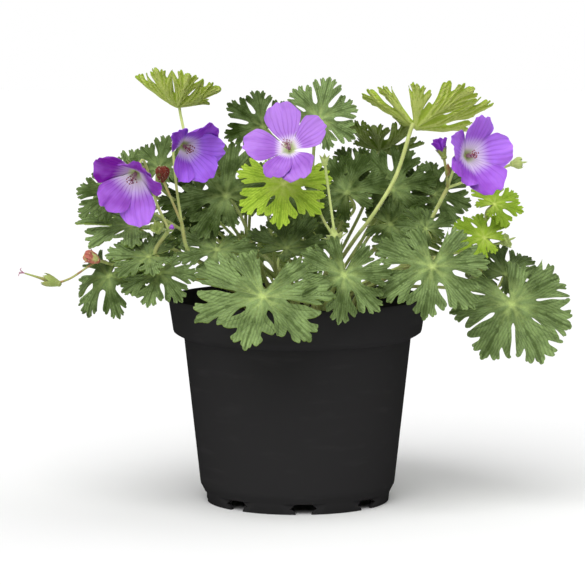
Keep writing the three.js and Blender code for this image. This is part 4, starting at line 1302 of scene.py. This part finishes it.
# %% Hairs on stems
def hair_tree():
    kinds = {"Length": "Float", "Thickness": "Float", "Seed": "Int", "Hair": "Material"}
    tree, given = new_tree("Fine hairs", On="Material", Density="Float", **kinds)
    chosen = out_of(tree, "GeometryNodeMaterialSelection", 0, {0: given["On"]})
    points, upright = scatter(tree, given, chosen)
    cone = {"Vertices": 3, "Radius Top": 0, "Radius Bottom": given["Thickness"], "Depth": given["Length"]}
    needle = out_of(tree, "GeometryNodeMeshCone", "Mesh", cone)
    lean = {0: upright, 1: vary(tree, (-0.6, -0.6, 0), (0.6, 0.6, TURN))}
    turn = out_of(tree, "FunctionNodeRotateRotation", 0, lean, rotation_space="LOCAL")
    needles = copied(tree, points, needle, Rotation=turn, Scale=vary(tree, 0.5, 1.3))
    return ending(tree, joined(tree, painted(tree, needles, given["Hair"]), given["Geometry"]))


hairs = hair_tree()
DOWN = {"Density": 350000.0, "Length": 0.0011, "Thickness": 0.00006}


def downy(thing, seed):
    return through_nodes(thing, hairs, On=STALK, Hair=HAIR, Seed=seed, **DOWN)


print("hair tree has", len(hairs.nodes), "nodes")

# %% [markdown]
# ## Flowering stems
# A stem rises from the crown to its first joint and forks there into flower stalks, buds and small leaves.
# Each stem is one piece, built by a short function that reads like a list of what it carries.

# %% The stems
BUD = {"seat": (93, -52, 231), "way": (-2, 0, 6)}


def main_stem(shape, places):
    joint = places[-1]
    root = root_of(joint[0], joint[1], SEATS["low"])
    line = rounded([root, above_soil(root), *places], 12 * len(places))
    tube(shape, line, [STALK_RADIUS["stem"], 1.35, 1.25], STALK, tone=0.6, flush=0.25, sides=12)


def pedicel(shape, start, flower, via=()):
    out, _, _ = facing(*flower["face"], 0)
    seat = np.array(flower["at"]) - out * (0.6 + GAP)
    twig(shape, [start, *via, seat - out * 12, seat], tone=0.75)
    calyx(shape, seat, out, length=10, opening=62, tone=0.6, flush=0.25)


# The tones of the stems' small leaves are partly their own and partly painted shade.
def stem_left(shape):
    joint = point(-82, -58, 184)
    main_stem(shape, [(-62, -40, 150), (-88, -56, 160), (-91, -60, 170), joint])
    pedicel(shape, joint, FLOWERS["flower_left"], [(-90, -50, 200)])
    cup = {"length": 9, "opening": 45, "wide": 5, "closed": 0.6}
    fruiting_calyx(shape, joint, point(-88, -82, 186), point(-90, -87, 193), tone=0.35, flush=0.1, **cup)
    violet_bud(shape, joint, point(-80, -76, 187), PETALS["flower_left"])
    low, high = (-88, -56, 160), (-91, -60, 170)
    stem_leaf(shape, low, row((-88, -67, 157), 27, (-8, 42), -170, arch=30, tone=0.55, seed=3))
    stem_leaf(shape, high, row((-95, -61, 167), 28, (-10, 58), -95, arch=15, tone=0.7, seed=13))


def stem_upper_left(shape):
    joint = point(-74, -56, 188)
    main_stem(shape, [(-50, -36, 152), (-70, -52, 170), joint])
    pedicel(shape, joint, FLOWERS["flower_upper_left"], [(-78, -48, 215)])
    spent_bloom(shape, joint, point(-86, -60, 217), point(-86, -61, 225), 5.2, tone=0.1)
    stem_leaf(shape, (-58, -44, 160), row((-52, -46, 170), 29, (5, 50), -165, tone=0.5, seed=4))


def stem_middle(shape):
    joint = point(24, -64, 178)
    main_stem(shape, [(18, -42, 155), (24, -60, 167), joint])
    swelling(shape, joint, point(-2, 2, 9))
    pedicel(shape, joint, FLOWERS["flower_middle"], [(14, -56, 196), (13, -45, 210), (6, -38, 228)])
    closed = {"length": 6, "opening": 18, "tone": 0.85, "flush": 0}
    fruiting_calyx(shape, joint, point(17, -68, 228), point(17, -69, 233), **closed)


def stem_right(shape):
    joint = point(96, -46, 210)
    main_stem(shape, [(60, -30, 152), (78, -44, 172), (88, -44, 194), joint])
    pedicel(shape, joint, FLOWERS["flower_right"], [(100, -40, 222)])
    twig(shape, [joint, (95, -52, 220), BUD["seat"]], tone=0.35, flush=0.4)
    calyx(shape, np.array(BUD["seat"]), np.array(BUD["way"]), length=7, opening=20, tone=0.2)
    red = [(0, 0), (1.2, 0.7), (1.8, 2.6), (1.7, 5), (1.1, 7.4), (0, 9)]
    seat, way = point(95.5, -52.4, 217.5), point(0.2, -1, 6)
    turned(shape, red, seat, way, STALK, 20, 0.2, 5, tone=0.2, flush=(0.8, 1))
    cup = {"length": 9, "opening": 36, "wide": 5.5, "tone": 0.7, "flush": 0.05, "closed": 0.75}
    fruiting_calyx(shape, joint, point(139, -38, 225), point(147, -38, 226), **cup)
    stem_leaf(shape, (78, -44, 172), row((82, -52, 184), 21, (10, 45), -30, tone=0.4, seed=5))


def stem_low_left(shape):
    joint = point(-120, -40, 160)
    main_stem(shape, [(-70, -24, 150), joint])
    beak = point(-154, -50, 149)
    twig(shape, [joint, (-127, -46, 163), (-146, -50, 152), beak], radius=0.8, tone=0.5, flush=0.8)
    cranesbill(shape, beak, point(-180, -50, 157))
    spent_bloom(shape, joint, point(-129, -50, 164), point(-137, -51, 168), 4.6, tone=0.9)
    stem_leaf(shape, (-80, -28, 152), row((-96, -22, 160), 27, (-15, 50), -80, tone=0.7, seed=6))
    drooping = row((-121, -46, 153), 33, (-28, 42), -155, arch=55, slim=0.65, tone=0.4, seed=7)
    stem_leaf(shape, (-100, -34, 156), drooping)


def stem_low_right(shape):
    joint, fork = point(125, -16, 170), (112, -12, 167)
    main_stem(shape, [(80, -8, 158), fork, joint])
    cup = {"length": 8, "opening": 50, "wide": 6.2, "tone": 0.6, "flush": 0.0, "closed": 0.4}
    fruiting_calyx(shape, joint, point(134, -23, 173), point(141, -25, 176), **cup)
    stem_leaf(shape, fork, row((121, -26, 176), 23, (0, 40), -60, tone=0.7, seed=8), YOUNG)
    stem_leaf(shape, joint, row((128, -18, 197), 20, (10, 40), 60, tone=0.7, seed=9), YOUNG)
    stem_leaf(shape, fork, row((136, -8, 150), 31, (20, 55), 50, arch=6, tone=0.3, seed=10))


STEMS = (stem_left, stem_upper_left, stem_middle, stem_right, stem_low_left, stem_low_right)
for number, make in enumerate(STEMS):
    shape = Shape()
    make(shape)
    stem = downy(piece(f"{make.__name__}_fine", shape), 20 + number)
    print(stem.name, len(stem.data.polygons), "faces")

# %% [markdown]
# ## The bud that opens
# Just before it opens, a bud shows its petals rolled round one another like an umbrella. A turned body
# with five folds that twist as they rise gives the roll, and five small crumpled petals stand round it.

# %% The violet bud
FURLED = [(0, 0.3), (0.9, 0.5), (1.5, 2.4), (2.2, 5.2), (2.8, 7.6), (3.0, 9.4), (2.2, 11), (0, 11.6)]
ROLLED = [(20, 66, 0.6, 0.95, 0.0, 0.6), (95, 75, 0.6, 1.0, 0.15, 0.5), (160, 67, 0.6, 0.9, 0.05, 0.6),
          (230, 74, 0.62, 1.0, 0.2, 0.5), (300, 68, 0.6, 0.88, 0.0, 0.6)]
shape, random, violet = Shape(), seeded(9), PETALS["flower_upper_left"]
turned(shape, FURLED, np.array(BUD["seat"]), point(*BUD["way"]), violet, 30, 0.3, 5, 0.15)
for place in ROLLED:
    petal(shape, {"at": BUD["seat"], "face": (-90, 71.6), "length": 12}, place, random, violet)
shape.looks = [look * (1, 0.2, 0, 1) + (0, 0.7, 0, 0) for look in shape.looks]
piece("bud_violet_fine", shape)
print("bud", len(shape.skins), "triangles")

# %% [markdown]
# ## Leaves from the crown
# The leaves that are seen best have their places listed one by one; each row says where the stalk joins
# the blade, how long the middle lobe is, which way the blade faces and where the middle lobe points, as on a
# clock.

# %% The leaves
# Each row's tone is partly the leaf's own lightness and partly painted shade, low deep in the bush.
LEAVES = {
    "leaf_high_right": [
        row((76, -24, 247), 55, (147, 54), -170, slim=0.76, cup=26, arch=-2, nod=-14, pull=0.06,
            lively=0.35, detail=44, tone=0.55, thick=1.6, stalk_tone=0.8,
            via=[(22, -2, 150), (38, -30, 177), (47, -40, 190), (63, -34, 216)]),
    ],
    "leaf_high_left": [
        row((-79, 8, 259), 35, (152, 71), 12, slim=1.08, cup=18, arch=-19, nod=-7, pull=0.1, lively=0.17,
            tone=0.5, thick=1.1, flush=0, stalk_tone=1.0,
            via=[(-24, 7, 156), (-56, 4, 190), (-70, 2, 227)]),
    ],
    "leaves_left_upper": [
        row((-107, -30, 184), 38, (-15, 72), -95, tone=0.9),
        row((-112, 6, 208), 29, (-20, 35), -100, tone=0.75),
    ],
    "leaf_mid_left": [row((-46, -34, 204), 36, (0, 25), -45, tone=0.3)],
    "leaves_left_inner": [
        row((-66, -12, 200), 28, (-10, 40), -140, tone=0.15),
        row((-90, -14, 220), 25, (-10, 35), 10, tone=0.3),
    ],
    "leaf_bright_middle": [
        row((-9, -54, 213), 34, (5, 35), 187, arch=14, tone=0.9, via=[(-8, -14, 186), (-8, -24, 204)]),
    ],
    "leaf_top_left_of_middle": [row((-23, 10, 246), 28, (10, 35), -55, tone=0.2)],
    "leaf_top_middle": [row((14, 7, 251), 29, (4, 25), 15, base=0.8, tone=0.8)],
    "leaf_dark_middle": [
        row((32, -22, 205), 31, (-10, 25), -30, tone=0.3, via=[(20, -14, 150), (26, -15, 180)]),
    ],
    "leaves_dark_right": [
        row((62, -6, 206), 34, (15, 20), 25, tone=0.3),
        row((60, -20, 184), 29, (15, 45), 100, tone=0.3),
        row((90, 5, 202), 27, (20, 30), 60, tone=0.35),
    ],
    "leaf_edge_on": [row((55, 34, 229), 31, (158, 63), -60, arch=-20, tone=0.2, via=[(46, 14, 200)])],
    "leaves_front": [
        row((-22, -95, 145), 48.8, (0, 52), 193, base=0.92, slim=0.93, arch=8, lively=0.3, detail=46,
            tone=0.68),
        row((29, -84, 158), 33, (20, 20), 195, base=0.8, arch=6, tone=0.55),
    ],
    "leaf_front_back": [row((-7, -45, 171), 30, (0, 58), 38, arch=-10, tone=0.4)],
    "leaf_front_right": [row((85, -75, 162), 40, (0, 35), 188, base=0.8, arch=12, detail=36, tone=0.6)],
    "leaf_right_large": [
        row((138, -38, 134), 44.5, (15, 34), 165, base=0.75, slim=1.02, arch=26, detail=36, tone=0.65),
    ],
}
YOUNG_LEAVES = ("leaf_high_left", "leaf_bright_middle", "leaf_high_right")
for number, (name, plans) in enumerate(LEAVES.items()):
    shape, young = Shape(), name in YOUNG_LEAVES
    for plan in plans:
        basal_leaf(shape, {"seed": number + 1, **plan}, YOUNG if young else LEAF)
    leaf = downy(piece(f"{name}_fine", shape), 40 + number)
    print(leaf.name, len(leaf.data.polygons), "faces")

# %% [markdown]
# ## Small leaves between
# Smaller leaves fill the plant deeper inside. They are seen only in part, so a short row says enough.

# %% The inner leaves
INNER = [
    row((-28, 5, 202), 22, (-20, 50), 90),
    row((-118, -38, 206), 27, (-30, 40), -90),
    row((-62, 14, 180), 26, (-10, 30), -30),
    row((4, -6, 184), 25, (0, 30), 15),
    row((38, 6, 216), 22, (5, 35), 20),
]
for number, plan in enumerate(INNER):
    shape = Shape()
    # A low tone: painted shade for leaves deep inside the plant.
    basal_leaf(shape, {**plan, "tone": 0.32, "seed": 60 + number, "detail": 26}, LEAF)
    leaf = downy(piece(f"leaf_inner_{number + 1}_fine", shape), 70 + number)
print("inner leaves made:", len(INNER))

# %% [markdown]
# ## Leaves round the back
# The back of a bush is as full as its front. These leaves follow one rule: round the half circle behind by
# the golden share, from low and far out to high and near, each a little different by a fixed seed.

# %% The back leaves
BEHIND = {
    "count": 9, "round": (14, 160), "reach": (126, 48), "height": (146, 214), "tilt": (30, 65), "seed": 7,
}


def back_plans():
    random = seeded(BEHIND["seed"])

    def between(low, high):
        return mixed(low, high, next(random))

    plans = []
    for i in range(BEHIND["count"]):
        turn = math.radians(mixed(*BEHIND["round"], (i * GOLDEN_SHARE) % 1))
        high = i / (BEHIND["count"] - 1)
        reach = mixed(*BEHIND["reach"], high) + between(-4, 4)
        height = mixed(*BEHIND["height"], high) + between(-6, 6)
        size, clock, arch = 0.94 * between(32, 40), 180 + between(-25, 25), between(6, 16)
        plans.append({
            "at": (reach * math.cos(turn), reach * math.sin(turn), height), "size": size, "point": clock,
            "face": (math.degrees(turn) + 90, mixed(*BEHIND["tilt"], high)), "arch": arch, "nod": 12,
            # Tone rises with height: partly painted shade on the low leaves beneath the others.
            "tone": 0.35 + 0.2 * high, "seed": 30 + i, "lively": 0.08,
        })
    return plans


BODIES = (0, 1, 2, 3, 4, 6, 5, 6, 7)  # the body of each leaf: two that lean on one another share theirs
bodies = [Shape() for _ in range(max(BODIES) + 1)]
for number, plan in zip(BODIES, back_plans()):
    basal_leaf(bodies[number], plan, BACK)
for number, shape in enumerate(bodies):
    leaf = downy(piece(f"leaves_back_{number + 1}_fine", shape), 80 + number)

# %% [markdown]
# ## The floor
# A plain pale floor, large enough that its edge is never seen.

# %% The floor
def make_floor():
    far = 6000
    corners = [(-far, -far, 0), (far, -far, 0), (far, far, 0), (-far, far, 0)]
    floor = solid_object("floor", corners, [[0, 1, 2, 3]])

    def pale(tree):
        return blend(noise(tree, 3), (0.86, 0.86, 0.86), (0.9, 0.9, 0.9)), 0.9, None, 0

    floor.data.materials.append(finish("floor_pale", pale))
    floor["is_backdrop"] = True


make_floor()

# %% [markdown]
# ## The two boxes
# Both boxes, of the solids and of the dressed plant, are printed side by side.

# %% Both boxes
bpy.context.view_layer.update()
size = {"cad": [list(corner) for corner in CAD_BOX], "visual": [list(corner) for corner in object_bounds()]}
for name, (low, high) in size.items():
    print(name, [round(v / MM, 1) for v in (*low, *high)])
